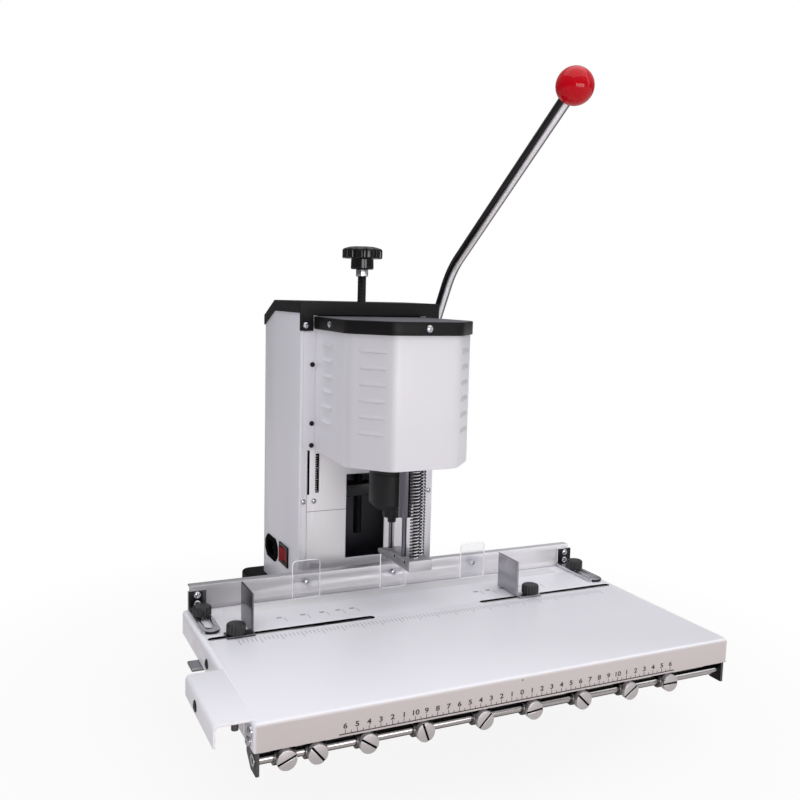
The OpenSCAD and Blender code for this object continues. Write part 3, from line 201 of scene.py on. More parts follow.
# name, screen colour, roughness, metal share, darker share, cloud and grain scale, grain depth, unevenness
finishTable = {
    "white_paint": ("whitePaint", (230, 229, 236), 0.36, 0, 0.97, 7, 700, 0.1, 0.05),
    # painted light: a brighter copy of the white paint for the front panel, which lies in the head's shade
    "panel_paint": ("panelPaint", (251, 249, 253), 0.36, 0, 0.98, 7, 700, 0.1, 0.05),
    "table_paint": ("tablePaint", (243, 242, 248), 0.34, 0, 0.98, 7, 700, 0.08, 0.05),
    "base_paint": ("basePaint", (8, 7, 10), 0.55, 0, 0.75, 12, 1500, 0.22, 0.08),
    "head_paint": ("headPaint", (231, 230, 236), 0.34, 0, 0.97, 8, 700, 0.1, 0.05),
    "black_paint": ("blackPaint", (20, 19, 22), 0.5, 0, 0.75, 12, 1500, 0.22, 0.08),
    # painted shade: a darker copy of the head paint for the louvres on the facets
    "louvre_paint": ("louvrePaint", (208, 207, 213), 0.36, 0, 0.97, 8, 700, 0.1, 0.05),
    "cap_paint": ("capPaint", (106, 102, 111), 0.4, 0, 0.8, 12, 1500, 0.16, 0.08),
    "rubber": ("footRubber", (26, 26, 27), 0.75, 0, 0.8, 30, 900, 0.3, 0.08),
    "grey_steel": ("greySteel", (170, 170, 174), 0.34, 1, 0.88, 14, 900, 0.08, 0.08),
    "dark_steel": ("darkSteel", (104, 102, 106), 0.4, 1, 0.82, 18, 900, 0.1, 0.1),
    "chrome": ("chromePlate", (222, 222, 228), 0.07, 1, 0.97, 16, 300, 0.0, 0.0),
    "lever_chrome": ("leverChrome", (252, 251, 254), 0.14, 0.5, 0.98, 16, 300, 0.0, 0.0),
    "cast_frame": ("castIron", (30, 29, 33), 0.6, 0, 0.8, 40, 700, 0.35, 0.1),
    "bronze": ("bushBronze", (176, 141, 76), 0.32, 1, 0.86, 20, 900, 0.06, 0.08),
    "black_plastic": ("blackPlastic", (36, 36, 40), 0.38, 0, 0.8, 30, 1400, 0.16, 0.07),
    "dark_plastic": ("darkPlastic", (15, 15, 17), 0.4, 0, 0.8, 30, 1400, 0.16, 0.07),
    "screw_steel": ("screwSteel", (205, 206, 212), 0.2, 1, 0.86, 60, 900, 0.05, 0.07),
    "dark_screw": ("darkScrew", (40, 40, 45), 0.3, 0.8, 0.8, 60, 900, 0.05, 0.07),
    "knob_plastic": ("knobPlastic", (24, 24, 27), 0.12, 0, 0.8, 30, 1400, 0.03, 0.03),
    "red_plastic": ("redPlastic", (200, 2, 24), 0.07, 0, 0.94, 20, 500, 0.005, 0.01),
    "switch_red": ("switchRed", (140, 3, 14), 0.34, 0, 0.85, 40, 900, 0.05, 0.05),
    "white_plastic": ("padPlastic", (232, 232, 234), 0.45, 0, 0.95, 20, 800, 0.08, 0.05),
    "polished_steel": ("polishedSteel", (214, 215, 220), 0.16, 1, 0.93, 10, 800, 0.02, 0.05),
    "fence_steel": ("fenceSteel", (250, 248, 252), 0.42, 0.55, 0.97, 10, 800, 0.02, 0.04),
    "cast_alloy": ("castAlloy", (112, 113, 119), 0.42, 0.7, 0.85, 20, 700, 0.2, 0.08),
    "spring_steel": ("springSteel", (244, 243, 247), 0.24, 1, 0.94, 80, 1200, 0.02, 0.04),
    "bit_steel": ("bitSteel", (196, 195, 202), 0.22, 1, 0.94, 60, 900, 0.02, 0.04),
    "motor_paint": ("motorPaint", (13, 14, 19), 0.45, 0, 0.8, 18, 1100, 0.18, 0.08),
    "black_steel": ("blackSteel", (34, 34, 38), 0.3, 0.5, 0.8, 25, 900, 0.08, 0.08),
    "aluminium": ("milledAluminium", (218, 217, 220), 0.46, 0.55, 0.95, 12, 900, 0.05, 0.06),
    # painted shade: a darker copy of the guide steel for the left guide
    "guide_dark": ("guideDark", (92, 90, 97), 0.2, 1, 0.94, 10, 800, 0.01, 0.03),
    "guide_steel": ("guideSteel", (170, 169, 175), 0.2, 1, 0.94, 10, 800, 0.01, 0.03),
    "stop_steel": ("stopSteel", (214, 210, 212), 0.34, 1, 0.93, 30, 900, 0.02, 0.05),
    "tube_steel": ("tubeSteel", (122, 120, 132), 0.2, 1, 0.9, 30, 900, 0.02, 0.05),
    "rail_steel": ("railSteel", (196, 192, 192), 0.2, 1, 0.95, 10, 800, 0.005, 0.02),
    "collar_steel": ("collarSteel", (138, 134, 136), 0.24, 1, 0.88, 30, 900, 0.05, 0.08),
    "ink": ("printInk", (52, 50, 54), 0.6, 0, 0.8, 90, 1400, 0.05, 0.05),
    "pale_ink": ("paleInk", (160, 158, 166), 0.6, 0, 0.85, 90, 1400, 0.05, 0.05),
    # dark gap: the dark of the panel's seams, and painted shade in the table's slots, the foot's holes and
    # the stops' slots
    "dark_gap": ("darkGap", (9, 9, 10), 0.9, 0, 0.8, 40, 900, 0.1, 0.05),
    "inner_sheet": ("innerSheet", (150, 146, 158), 0.7, 0, 0.8, 12, 900, 0.1, 0.05),
    # painted light: the clear stops' edges glow
    "rim_plastic": ("rimPlastic", (248, 248, 250), 0.4, 0, 0.97, 40, 900, 0.05, 0.05),
    "clear_plastic": ("clearPlastic", (236, 236, 240), 0.05, 0, 0.99, 20, 300, 0.0, 0.01),
}
# streaks, scratches, painted shade on the table's front, bands of painted shade, highlights and reflections,
# and fixed sockets, one of them a painted glow, where wanted
finishExtras = {
    "white_paint": {"scratch": 0.1},
    "panel_paint": {"scratch": 0.1},
    # painted shade: a darker, warmer tone on the table's front edge
    "table_paint": {"scratch": 0.1, "paintedFrontShade": linear(206, 198, 199)},
    "base_paint": {"fixed": {"Specular IOR Level": 0.09}},
    # painted shade: faces turned like the head's left front facet are darker
    "head_paint": {"scratch": 0.1, "paintedLightBands": ("Normal", (-0.75, -0.66, 0), [(0.9, 1.0), (0.98, 0.8)])},
    "black_paint": {"fixed": {"Specular IOR Level": 0.22}},
    # painted reflection and shade: the cap's top is bright, its sides nearly black
    "cap_paint": {"paintedLightBands": ("Normal", (0, 0, 1), [(0.8, 0.045), (0.97, 1.0)]),
                  "fixed": {"Specular IOR Level": 0.2}},
    # painted reflection: dark and bright stripes along the lever, set by the way its surface faces
    "lever_chrome": {"paintedLightBands": ("Normal", (0.753, -0.384, -0.535),
                               [(0.0, 0.16), (0.08, 0.025), (0.46, 0.02), (0.58, 0.6), (0.64, 1.0),
                                (0.84, 1.0), (0.91, 0.08)])},
    "cast_frame": {"fixed": {"Specular IOR Level": 0.2}},
    "dark_plastic": {"fixed": {"Specular IOR Level": 0.25}},
    "red_plastic": {"fixed": {"Specular IOR Level": 0.26}},
    "switch_red": {"fixed": {"Specular IOR Level": 0.1}},
    "polished_steel": {"streak": (6, 900, 900)},
    # painted reflection: the fence plate darkens towards its left end
    "fence_steel": {"streak": (5, 700, 700),
                    "paintedLightBands": ("Object", (2.1, 0, 0), [(0.2, 0.34), (0.5, 0.64), (0.78, 1.0)])},
    # painted reflection and shade: coil faces turned to the front are bright, the others nearly black
    "spring_steel": {"paintedLightBands": ("Normal", (-0.42, -0.88, 0.22), [(0.66, 0.02), (0.86, 1.0)])},
    # painted reflection: dark and bright stripes down the bit, set by the way its surface faces
    "bit_steel": {"paintedLightBands": ("Normal", (0.906, -0.423, 0),
                            [(0.0, 0.25), (0.3, 0.7), (0.45, 0.05), (0.58, 0.05), (0.7, 0.8)])},
    # painted shade: the presser foot's faces are darker by the way they face; the streaks are its milling
    "aluminium": {"streak": (700, 8, 700),
                  "paintedLightBands": ("Normal", (0.6, 0.8, 0), [(0.1, 0.78), (0.2, 0.42), (0.5, 0.62), (0.8, 1.0)])},
    "guide_dark": {"streak": (6, 500, 500)},
    "guide_steel": {"streak": (6, 500, 500)},
    "tube_steel": {"streak": (500, 500, 6)},
    # painted reflection: the rail's upper side is dark, its middle and lower side bright
    "rail_steel": {"streak": (4, 500, 500), "paintedLightBands": (
        "Normal", (0, 0.485, 0.875), [(0.03, 0.05), (0.12, 1.0), (0.55, 1.0), (0.64, 0.06)])},
    # painted reflection: the collars' upper side is dark, their lower side bright
    "collar_steel": {"paintedLightBands": (
        "Normal", (0, 0.485, 0.875), [(0.04, 0.1), (0.2, 1.0), (0.55, 0.8), (0.75, 0.06)])},
    "dark_gap": {"fixed": {"Specular IOR Level": 0.05}},
    # painted light: a glow on the clear stops' edges
    "rim_plastic": {"fixed": {"Emission Color": (1, 1, 1, 1), "Emission Strength": 0.28}},
    "clear_plastic": {"fixed": {"Transmission Weight": 1.0, "IOR": 1.25, "Alpha": 0.5}},
}
finishes = {}
for key, (name, tone, *numbers) in finishTable.items():
    finishes[key] = finish(name, linear(*tone), *numbers, **finishExtras.get(key, {}))
print("finishes made:", len(finishes))


# shapes: each gives its points and a list of face arrays
def skin(points, wrapColumns=False):
    # a grid of points (rows, columns, 3) with a quad between each four neighbours
    rows, columns = points.shape[:2]
    index = np.arange(rows * columns).reshape(rows, columns)
    if wrapColumns:
        index = np.hstack([index, index[:, :1]])
    quads = np.stack([index[:-1, :-1], index[:-1, 1:], index[1:, 1:], index[1:, :-1]], -1).reshape(-1, 4)
    return points.reshape(-1, 3), [quads]


def fullTurn(sides):
    # evenly spread angles of one turn
    return np.linspace(0, 2 * math.pi, sides, endpoint=False)


def capped(rings, first, last):
    # rings of points, drawn to one point at each end
    return skin(np.vstack([0 * rings[:1] + first, rings, 0 * rings[:1] + last]), wrapColumns=True)


def soften(points, radius, steps=5, closed=True):
    # each corner becomes a quadratic curve between the points that lie a radius before and after it
    points = np.asarray(points, float)
    before, after = np.roll(points, 1, 0) - points, np.roll(points, -1, 0) - points
    radius = np.broadcast_to(np.asarray(radius, float), (len(points),))
    lengths = [np.linalg.norm(d, axis=1) for d in (before, after)]
    reach = [(np.minimum(radius, 0.49 * length) / length)[:, None] for length in lengths]
    start, end = points + before * reach[0], points + after * reach[1]
    t = np.linspace(0, 1, steps + 1)[None, :, None]
    curve = (1 - t) ** 2 * start[:, None] + 2 * t * (1 - t) * points[:, None] + t ** 2 * end[:, None]
    if not closed:
        curve[0], curve[-1] = points[0], points[-1]
    curve = curve.reshape(-1, points.shape[1])
    keep = np.r_[True, np.linalg.norm(np.diff(curve, axis=0), axis=1) > 1e-4]
    return curve[keep]


# how a shape that is drawn along Z lies along another axis
turns = {"x": np.array([[0, 0, 1], [1, 0, 0], [0, 1, 0]]), "y": np.array([[1, 0, 0], [0, 0, 1], [0, 1, 0]]),
         "z": np.eye(3)}


def lathe(profile, at=(0, 0, 0), axis="z", sides=64, wave=None):
    # a profile of (radius, height) turned round an axis; wave(angle, profile) gives shares of the radius
    profile = np.asarray(profile, float)
    angle = fullTurn(sides)
    grow = np.ones((len(profile), sides)) if wave is None else wave(angle, profile)
    radius = profile[:, :1] * grow
    points = np.stack([radius * np.cos(angle), radius * np.sin(angle), profile[:, 1:] + 0 * radius], -1)
    return skin(points @ turns[axis].T + np.array(at), wrapColumns=True)


def rodProfile(radius, low, high, edge=0.4, bore=0.0):
    # closed outline of a turned rod or ring with rounded edges
    outline = [(bore, low), (radius, low), (radius, high), (bore, high)]
    boreEdge = min(edge, 0.2) if bore else 0.0
    rounded = soften(outline, [boreEdge, edge, edge, boreEdge], 4)
    return np.vstack([rounded, rounded[:1]])


def tube(path, radius, sides):
    # a circle carried along a path in a plane of constant X
    way = np.gradient(path, axis=0)
    way /= np.linalg.norm(way, axis=1)[:, None]
    across = np.broadcast_to(np.array([1.0, 0, 0]), way.shape)
    other = np.cross(way, across)
    angle = fullTurn(sides)[None, :, None]
    ring = path[:, None] + radius * (np.cos(angle) * across[:, None] + np.sin(angle) * other[:, None])
    return capped(ring, path[0], path[-1])


def helix(at, radius, wire, low, high, coils, perCoil=28, sides=10):
    # a wire's circle carried round a helix whose ends lie flat for three quarters of a coil
    t = np.linspace(0, 1, int(coils * perCoil) + 1)
    flat = 0.75 / coils
    lift = np.clip((t - flat) / (1 - 2 * flat), 0, 1)
    z = low + wire / 2 + (high - low - wire) * lift
    angle = 2 * math.pi * coils * t
    out = np.stack([np.cos(angle), np.sin(angle), 0 * angle], -1)
    turn = fullTurn(sides)
    centre = np.array([at[0], at[1], 0]) + radius * out + z[:, None] * np.array([0, 0, 1.0])
    ring = centre[:, None] + wire / 2 * (np.cos(turn)[None, :, None] * out[:, None]
                                         + np.sin(turn)[None, :, None] * np.array([0, 0, 1.0]))
    return capped(ring, centre[0], centre[-1])


def prism(outline, low, high, edge=0.4, axis="z", at=(0, 0, 0)):
    # a closed outline carried along an axis; both rims are rounded by drawing the outline in
    outline = np.asarray(outline, float)
    if np.sum(outline[:, 0] * np.roll(outline[:, 1], -1) - np.roll(outline[:, 0], -1) * outline[:, 1]) < 0:
        outline = outline[::-1]
    sideOut = np.roll(outline, -1, 0) - outline
    sideOut = np.stack([sideOut[:, 1], -sideOut[:, 0]], -1)
    sideOut /= np.linalg.norm(sideOut, axis=1)[:, None]
    corner = sideOut + np.roll(sideOut, 1, 0)
    corner /= np.maximum(np.sum(corner * corner, 1), 0.5)[:, None] / 2
    bend = np.linspace(0, math.pi / 2, 4)
    drawn = np.r_[edge * (1 - np.sin(bend)), edge * (1 - np.cos(bend))]
    height = np.r_[low + edge * (1 - np.cos(bend)), high - edge * (1 - np.sin(bend))]
    flat = outline[None] - drawn[:, None, None] * corner[None]
    points = np.concatenate([flat, np.broadcast_to(height[:, None, None], flat.shape[:2] + (1,))], -1)
    verts, faces = skin(points @ turns[axis].T + np.array(at), wrapColumns=True)
    count = len(outline)
    caps = [np.arange(count)[::-1][None], (np.arange(count) + (len(height) - 1) * count)[None]]
    return verts, faces + caps


def slab(low, high, edge=0.4, corner=0.8):
    # a box with rounded upright edges and rims
    (x0, y0, z0), (x1, y1, z1) = low, high
    return prism(soften([(x0, y0), (x1, y0), (x1, y1), (x0, y1)], corner, 4), z0, z1, edge)


# the six sides of a box whose corners run through X, then Y, then Z
boxFaces = [np.array([(0, 1, 3, 2), (4, 6, 7, 5), (0, 4, 5, 1), (2, 3, 7, 6), (0, 2, 6, 4), (1, 5, 7, 3)])]


def screwHead(radius, tall, cross=0.55, rings=14, sides=48):
    # a dome over a polar grid, with a cross pressed into it: height = dome - depth * cross mask
    share = np.linspace(0, 1, rings)[:, None]
    angle = fullTurn(sides)[None]
    x, y = share * np.cos(angle), share * np.sin(angle)
    dome = tall * np.sqrt(np.clip(1 - (share * 0.93) ** 2.6, 0, 1)) + 0 * angle
    bars = [np.clip((0.15 - np.abs(a)) / 0.05, 0, 1) * np.clip((cross - np.abs(b)) / 0.1, 0, 1)
            for a, b in ((x, y), (y, x))]
    height = dome - 0.6 * tall * np.maximum(*bars)
    top = np.stack([x * radius, y * radius, height], -1)
    skirt = np.stack([x[-1:] * radius, y[-1:] * radius, 0 * x[-1:]], -1)
    return np.concatenate([top, skirt])


def turnedHead(at, facing, radius, tall):
    # the screw head laid on a face whose outward direction is given
    facing = np.array(facing, float) / np.linalg.norm(facing)
    side = np.cross([0, 0, 1.0], facing)
    side /= np.linalg.norm(side)
    axes = np.stack([side, np.cross(facing, side), facing])
    return skin(screwHead(radius, tall) @ axes + np.array(at), wrapColumns=True)


# metres within which points are joined and slivers dissolved, and the angles for smoothing and bevelling
weld, sliver = 2e-6, 1e-7
smoothBelow, bevelAbove, flatBelow = (math.radians(angle) for angle in (32, 28, 0.5))


# one object from several shapes, riding a body and standing for CAD nodes
def build(name, shapes, finishName, body, nodes=(), shade=True, slots=None):
    verts, faces, marks, base = [], [], [], 0
    for number, (points, arrays) in enumerate(shapes):
        verts.append(points)
        for array in arrays:
            faces.extend((array + base).tolist())
            marks.extend([slots[number] if slots else 0] * len(array))
        base += len(points)
    mesh = bpy.data.meshes.new(name)
    mesh.from_pydata((np.vstack(verts) * mm).tolist(), [], faces)
    mesh.polygons.foreach_set("material_index", np.array(marks, np.int32))
    work = bmesh.new()
    work.from_mesh(mesh)
    bmesh.ops.remove_doubles(work, verts=work.verts, dist=weld)
    bmesh.ops.dissolve_degenerate(work, edges=work.edges, dist=sliver)
    bmesh.ops.recalc_face_normals(work, faces=work.faces)
    work.to_mesh(mesh)
    work.free()
    return present(name, mesh, finishName, body, nodes, shade)


def present(name, mesh, finishName, body, nodes=(), shade=True):
    # the mesh as an object with its finishes, its body and the CAD nodes that it stands for
    for one in [finishName] if isinstance(finishName, str) else finishName:
        mesh.materials.append(finishes[one])
    if shade:
        mesh.shade_smooth()
        mesh.set_sharp_from_angle(angle=smoothBelow)
    piece = bpy.data.objects.new(name, mesh)
    scene.collection.objects.link(piece)
    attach(piece, body)
    if nodes:
        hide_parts(*nodes)
    return piece


slotOf = {part["node"]: part["material_slot"] for part in frame["record"]["subparts"]}


def softCopy(node, width, finishName, name, folds=None, fine=0.35, merge=True):
    # the CAD node's own form with rounded edges: width at the folds, fine at every other edge
    work = bmesh.new()
    work.from_mesh(frame["nodes"][node].data)
    bmesh.ops.remove_doubles(work, verts=work.verts, dist=weld)
    if merge:
        bmesh.ops.dissolve_limit(work, angle_limit=flatBelow, verts=work.verts, edges=work.edges)
    weight = work.edges.layers.float.new("bevel_weight_edge")
    for edge in work.edges:
        if len(edge.link_faces) == 2 and edge.calc_face_angle(0.0) > bevelAbove:
            ends = [v.co / mm for v in edge.verts]
            edge[weight] = 1.0 if folds is None or folds(*ends) else fine / width
    mesh = bpy.data.meshes.new(name)
    work.to_mesh(mesh)
    work.free()
    piece = present(name, mesh, finishName, frame["nodes"][node]["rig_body"], (node,))
    for sharp in piece.data.edges:
        sharp.use_edge_sharp = False
    bevel = piece.modifiers.new("edges", "BEVEL")
    bevel.limit_method, bevel.width, bevel.segments = "WEIGHT", width * mm, 3
    bevel.use_clamp_overlap, bevel.harden_normals, bevel.loop_slide = False, True, False
    return piece


shiftX = 13.5  # the table stands this far to the right of the drill
bothSides = (-1, 1)
forward = (0, -1, 0)


def onFace(a, b, axis, value):
    # whether both ends of an edge lie in one plane
    return abs(a[axis] - value) < 0.02 and abs(b[axis] - value) < 0.02


def secondFinish(piece, chosen):
    # the faces that are chosen take the piece's second finish
    for polygon in piece.data.polygons:
        polygon.material_index = 1 if chosen(polygon) else 0


# tower
tower = {"halfX": 81.5, "frontY": 66.4, "fold": 1.6, "cut": 0.4, "baseTop": -27, "baseFold": 3.0}
column = {"radius": 8, "low": -25.5, "high": 296, "edge": 0.8}
columnSpots = [(s * 50, 92, 0) for s in bothSides]
feet = {"radius": 12, "waist": 10.4, "toe": 9.6, "tall": 10, "x": 87.5, "places": (-102, 202), "top": -90}


def sideFold(a, b):
    # the tower's two upright front corners
    return any(onFace(a, b, 0, s * tower["halfX"]) for s in bothSides) and onFace(a, b, 1, tower["frontY"])


sheetFinish = ["white_paint", "inner_sheet"]
shell = softCopy("tower_shell", tower["fold"], sheetFinish, "towerShell", sideFold, tower["cut"], False)
# the front panel takes the brighter copy of the white paint, painted light
softCopy("front_panel", tower["cut"], "panel_paint", "frontPanel")
rear = softCopy("rear_cover", tower["cut"], sheetFinish, "rearCover")
secondFinish(shell, lambda p: p.normal.x * p.center.x < 0 and abs(p.normal.x) > 0.9)
secondFinish(rear, lambda p: p.normal.y < -0.9)
softCopy("top_cover", 0.55, "black_paint", "topCover")
softCopy("inner_frame", 1.2, "cast_frame", "innerFrame")
softCopy("base_box", tower["baseFold"], "base_paint", "baseBox",
         lambda a, b: onFace(a, b, 2, tower["baseTop"]), 0.6)
softCopy("table_carrier", 0.8, "grey_steel", "tableCarrier")
softCopy("shaft_bushes", 0.5, "bronze", "shaftBushes")
build("guideColumns", [lathe(rodProfile(**column), at) for at in columnSpots], "chrome", "frame",
      ["guide_columns"])
footLine = soften([(0, -feet["tall"]), (feet["toe"], -feet["tall"]), (feet["waist"], -7),
                   (feet["radius"], -0.6), (feet["radius"], 0), (0, 0)], [0, 1.2, 0.4, 0.6, 0.3, 0], 4)
footSpots = [(s * feet["x"], y, feet["top"]) for s in bothSides for y in feet["places"]]
build("rubberFeet", [lathe(footLine, at) for at in footSpots], "rubber", "frame", ["rubber_feet"])
print("tower made")


# head cover: the plan of a folded sheet carried upward, with pressed louvres
head = {"low": 145.4, "high": 279.4, "flangeTop": 274.0, "wall": 1.5, "bend": 9.0, "flangeIn": 63,
        "flangeOut": 78.5}
cap = {"low": 277.4, "plateLow": 288.6, "rimHigh": 290.2, "high": 291, "inset": 0.998}


def mirrored(half):
    # the right half of a plan, from its back to its front, made whole from the left round to the right
    return np.array([(-x, y) for x, y in half] + half[::-1])


def roundedPlan(points, bend):
    # the plan with its four folds rounded and its two back ends left sharp
    return soften(points, [0, bend, bend, bend, bend, 0], 8, False)


flangeY = tower["frontY"] - head["wall"]
plan = mirrored([(64.5, tower["frontY"]), (69, -36.7), (35.3, -75)])
inPlan = mirrored([(63, tower["frontY"]), (67.5, -36.1), (34.6, -73.5)])
outer, inner = roundedPlan(plan, head["bend"]), roundedPlan(inPlan, head["bend"] - 1)
headShapes = [prism(np.vstack([outer, inner[::-1]]), head["low"], head["high"], 0.5)]
for s in bothSides:
    low, high = sorted((s * head["flangeIn"], s * head["flangeOut"]))
    headShapes.append(slab((low, flangeY, head["low"]), (high, tower["frontY"], head["flangeTop"]), 0.4, 0.5))
build("headCover", headShapes, "head_paint", "frame", ["head_cover"])
capOuter = roundedPlan(plan + mirrored([(2, 0), (2, -1), (1.4, -2)]), head["bend"])
capInner = roundedPlan(plan * cap["inset"], head["bend"])
build("headCap", [prism(np.vstack([capOuter, capInner[::-1]]), cap["low"], cap["rimHigh"], 0.3),
                  prism(capOuter, cap["plateLow"], cap["high"], 1.2)], "cap_paint", "frame", ["head_cap"])

louvre = {"tall": 6.0, "rows": 6, "sink": 0.15}
# the two corners of each face, the share along it, the highest and lowest row, the length and the depth
louvreFaces = [(plan[0], plan[1], 0.42, 263.8, 183, 33, 3.4), (plan[1], plan[2], 0.55, 262.5, 182, 30, 1.7)]


def louvreAt(middle, along, out, long, deep):
    # a pressed hood: depth = swell across * swell along, steep at its lower lip
    u, v = np.linspace(-1, 1, 29)[None, :], np.linspace(0, 1, 15)[:, None]
    swell = np.clip(1 - np.abs(u) ** 5, 0, 1) * np.sin(math.pi * v ** 2.2) ** 0.8
    spot = np.array(middle, float) + (u * long / 2)[..., None] * along
    spot = spot + ((0.5 - v) * louvre["tall"])[..., None] * np.array([0, 0, 1.0])
    return skin(spot + (swell * deep - louvre["sink"])[..., None] * out)


def faceSpot(start, end, share):
    # a point part of the way along one face of the head, with its run and outward direction
    run = (end - start) / np.linalg.norm(end - start)
    middle = start + (end - start) * share
    out = np.array([run[1], -run[0], 0])
    return np.array([*middle, 0]), np.array([*run, 0]), out if out[:2] @ middle > 0 else -out


louvreShapes = []
for row in range(louvre["rows"]):
    for start, end, share, top, bottom, long, deep in louvreFaces:
        middle, run, out = faceSpot(start, end, share)
        middle[2] = top + (bottom - top) * row / (louvre["rows"] - 1)
        for flip in (np.array([1, 1, 1.0]), np.array([-1, 1, 1.0])):
            louvreShapes.append(louvreAt(middle * flip, run * flip, out * flip, long, deep))
# louvres on the facets take the darker copy of the head paint, painted shade
build("headLouvres", louvreShapes, ["head_paint", "louvre_paint"], "frame",
      slots=[0, 0, 1, 1] * louvre["rows"])
print("head made")


# cover screws: place, outward direction and radius of each head
lightSpots = [((0, -77.0, 284.2), forward, 3.5)]
lightSpots += [((s * 68.9, 12, 284.2), (s, -0.04, 0), 3.2) for s in bothSides]
lightSpots += [((s * 76.5, flangeY, 281), forward, 3.2) for s in bothSides]
darkSpots = [((s * 68.5, flangeY, z), forward, 2.7) for s in bothSides for z in (151, 175, 239)]
greySpots = [((x, tower["frontY"], z), forward, 2.9)
             for x, z in ((-76.5, 88.5), (-64.2, 88.5), (76.5, 91), (67.2, 71))]


def heads(spots, tall):
    # a screw head at each spot
    return [turnedHead(at, way, radius, tall) for at, way, radius in spots]


build("coverScrews", heads(lightSpots, 1.9) + heads(darkSpots, 1.5) + heads(greySpots, 1.8),
      ["screw_steel", "dark_screw"], "frame", ["cover_screws"],
      slots=[0] * len(lightSpots) + [1] * len(darkSpots) + [0] * len(greySpots))

# depth scale beside the window: a dark slot with pale ticks, and the thin seams of the panel
scale = {"left": -62.7, "right": -58.3, "low": 97.6, "high": 140.9, "first": 99, "last": 140, "step": 2.6}


def thinPlate(low, high):
    # a sheet so thin that only its face shows, measured from the tower's front face
    base = np.array([0, tower["frontY"], 0])
    return slab(base + low, base + high, 0.05, 0.1)


# X, depth behind the tower's face and Z of both corners of the side seam, the slot and the cross seam
gapCorners = [((-72.1, -0.2, 96), (-69.7, 0.05, 145)),
              ((scale["left"], 1.3, scale["low"]), (scale["right"], 1.7, scale["high"])),
              ((-72, -0.15, 76.6), (-26.2, 0.03, 77.0))]
build("panelGaps", [thinPlate(*corners) for corners in gapCorners], "dark_gap", "frame")
tickShapes = []
for number, z in enumerate(np.arange(scale["first"], scale["last"], scale["step"])):
    end = scale["left"] + (2.1 if number % 5 else 3.1)
    tickShapes.append(thinPlate((scale["left"] + 0.5, 0.9, z), (end, 1.35, z + 0.5)))
build("depthTicks", tickShapes, "white_plastic", "frame")
print("screws and scale made")


# inlet and switch; the inlet's loops run from the wall over its face into the socket, each with its width,
# height, corner and X
inlet = {"y": 163, "z": 12, "floor": -64, "bladeTip": -79, "bladeHalf": (0.8, 2),
         "blades": ((-7, -2), (0, 2), (7, -2)),
         "loops": ((46, 27, 8, -81.4), (46, 27, 8, -83.1), (45.2, 26.2, 8, -83.5), (25.6, 17.6, 4.2, -83.5),
                   (24.8, 16.8, 4, -82.9), (24.8, 16.8, 4, -64), (2, 2, 0.5, -64))}


def cutCorner(wide, tall, cut, x):
    # a rectangle with its four corners cut off, standing in a plane of constant X
    w, t = wide / 2, tall / 2
    corners = [(-w + cut, -t), (w - cut, -t), (w, -t + cut), (w, t - cut),
               (w - cut, t), (-w + cut, t), (-w, t - cut), (-w, -t + cut)]
    line = soften(corners, min(1.5, cut * 0.4), 4)
    return np.column_stack([np.full(len(line), x), line[:, 0] + inlet["y"], line[:, 1] + inlet["z"]])


inletShapes = [skin(np.stack([cutCorner(*loop) for loop in inlet["loops"]]), wrapColumns=True)]
for y, z in inlet["blades"]:
    across, up = inlet["bladeHalf"]
    inletShapes.append(slab((inlet["bladeTip"], inlet["y"] + y - across, inlet["z"] + z - up),
                            (inlet["floor"] - 0.2, inlet["y"] + y + across, inlet["z"] + z + up), 0.2, 0.3))
build("powerInlet", inletShapes, ["dark_gap", "dark_plastic"], "frame", ["power_inlet"], slots=[0, 1, 1, 1])
softCopy("switch_bezel", 0.7, "dark_plastic", "switchBezel")
softCopy("switch_rocker", 0.6, "switch_red", "switchRocker")
print("fittings made")


# table
table = {"halfX": 231.0, "frontY": -240.0, "backY": 20.0, "slotY": -66.0, "slotIn": 54, "slotOut": 224,
         "fold": 3.2, "cut": 0.35}
bars = {"radius": 5, "half": 229, "y": (-88, -32), "z": -13.5}
rail = {"radius": 4, "half": 226, "y": -231, "z": -32.5, "ring": 4.6, "ringBore": 2.4, "ringThick": 0.9}


def tableFold(a, b):
    # the folded edges of the table top
    onTop = onFace(a, b, 2, 0)
    onSide = any(onFace(a, b, 0, shiftX + s * table["halfX"]) for s in bothSides)
    onEnd = onFace(a, b, 1, table["frontY"]) or onFace(a, b, 1, table["backY"])
    return (onTop and (onSide or onEnd)) or (onSide and onEnd)


def inSlot(polygon):
    # the walls of the two long slots, which take the dark gap finish as painted shade
    x, y, z = polygon.center / mm
    nearSlot = abs(y - table["slotY"]) < 5 and 50 < abs(x - shiftX) < 228
    return nearSlot and z > -3 and abs(polygon.normal.z) < 0.5


tableTop = softCopy("table_top", table["fold"], ["table_paint", "dark_gap"], "tableTop", tableFold,
                    table["cut"])
# painted shade: the long slots' walls are dark
secondFinish(tableTop, inSlot)
handle = {"out": shiftX - 259.5, "in": shiftX - 231, "front": -231, "long": 97, "drop": 18, "sheet": 2,
          "fold": 5.0, "lap": 2.9, "gap": 0.02}
left, lapX, back = handle["out"], handle["in"] + handle["lap"], handle["front"] + handle["long"]
sheetThick, drop = handle["sheet"], handle["drop"]
plate = soften([(left, -drop), (left, -handle["gap"]), (lapX, -handle["gap"]), (lapX, -sheetThick),
                (left + sheetThick, -sheetThick), (left + sheetThick, -drop)],
               [0.7, handle["fold"], 0.2, 0.2, 3, 0.7], 8)
web = slab((handle["in"] - sheetThick, handle["front"] + 14, -drop), (handle["in"], back - 7, -0.3), 0.4, 0.6)
build("tableHandle", [prism(plate, handle["front"], back, 0.3, "y"), web], "table_paint", "table",
      ["table_handle"])
softCopy("drill_pad", 0.4, "white_plastic", "drillPad")
railPlates = softCopy("rail_plates", 0.5, ["dark_steel", "black_steel"], "railPlates")
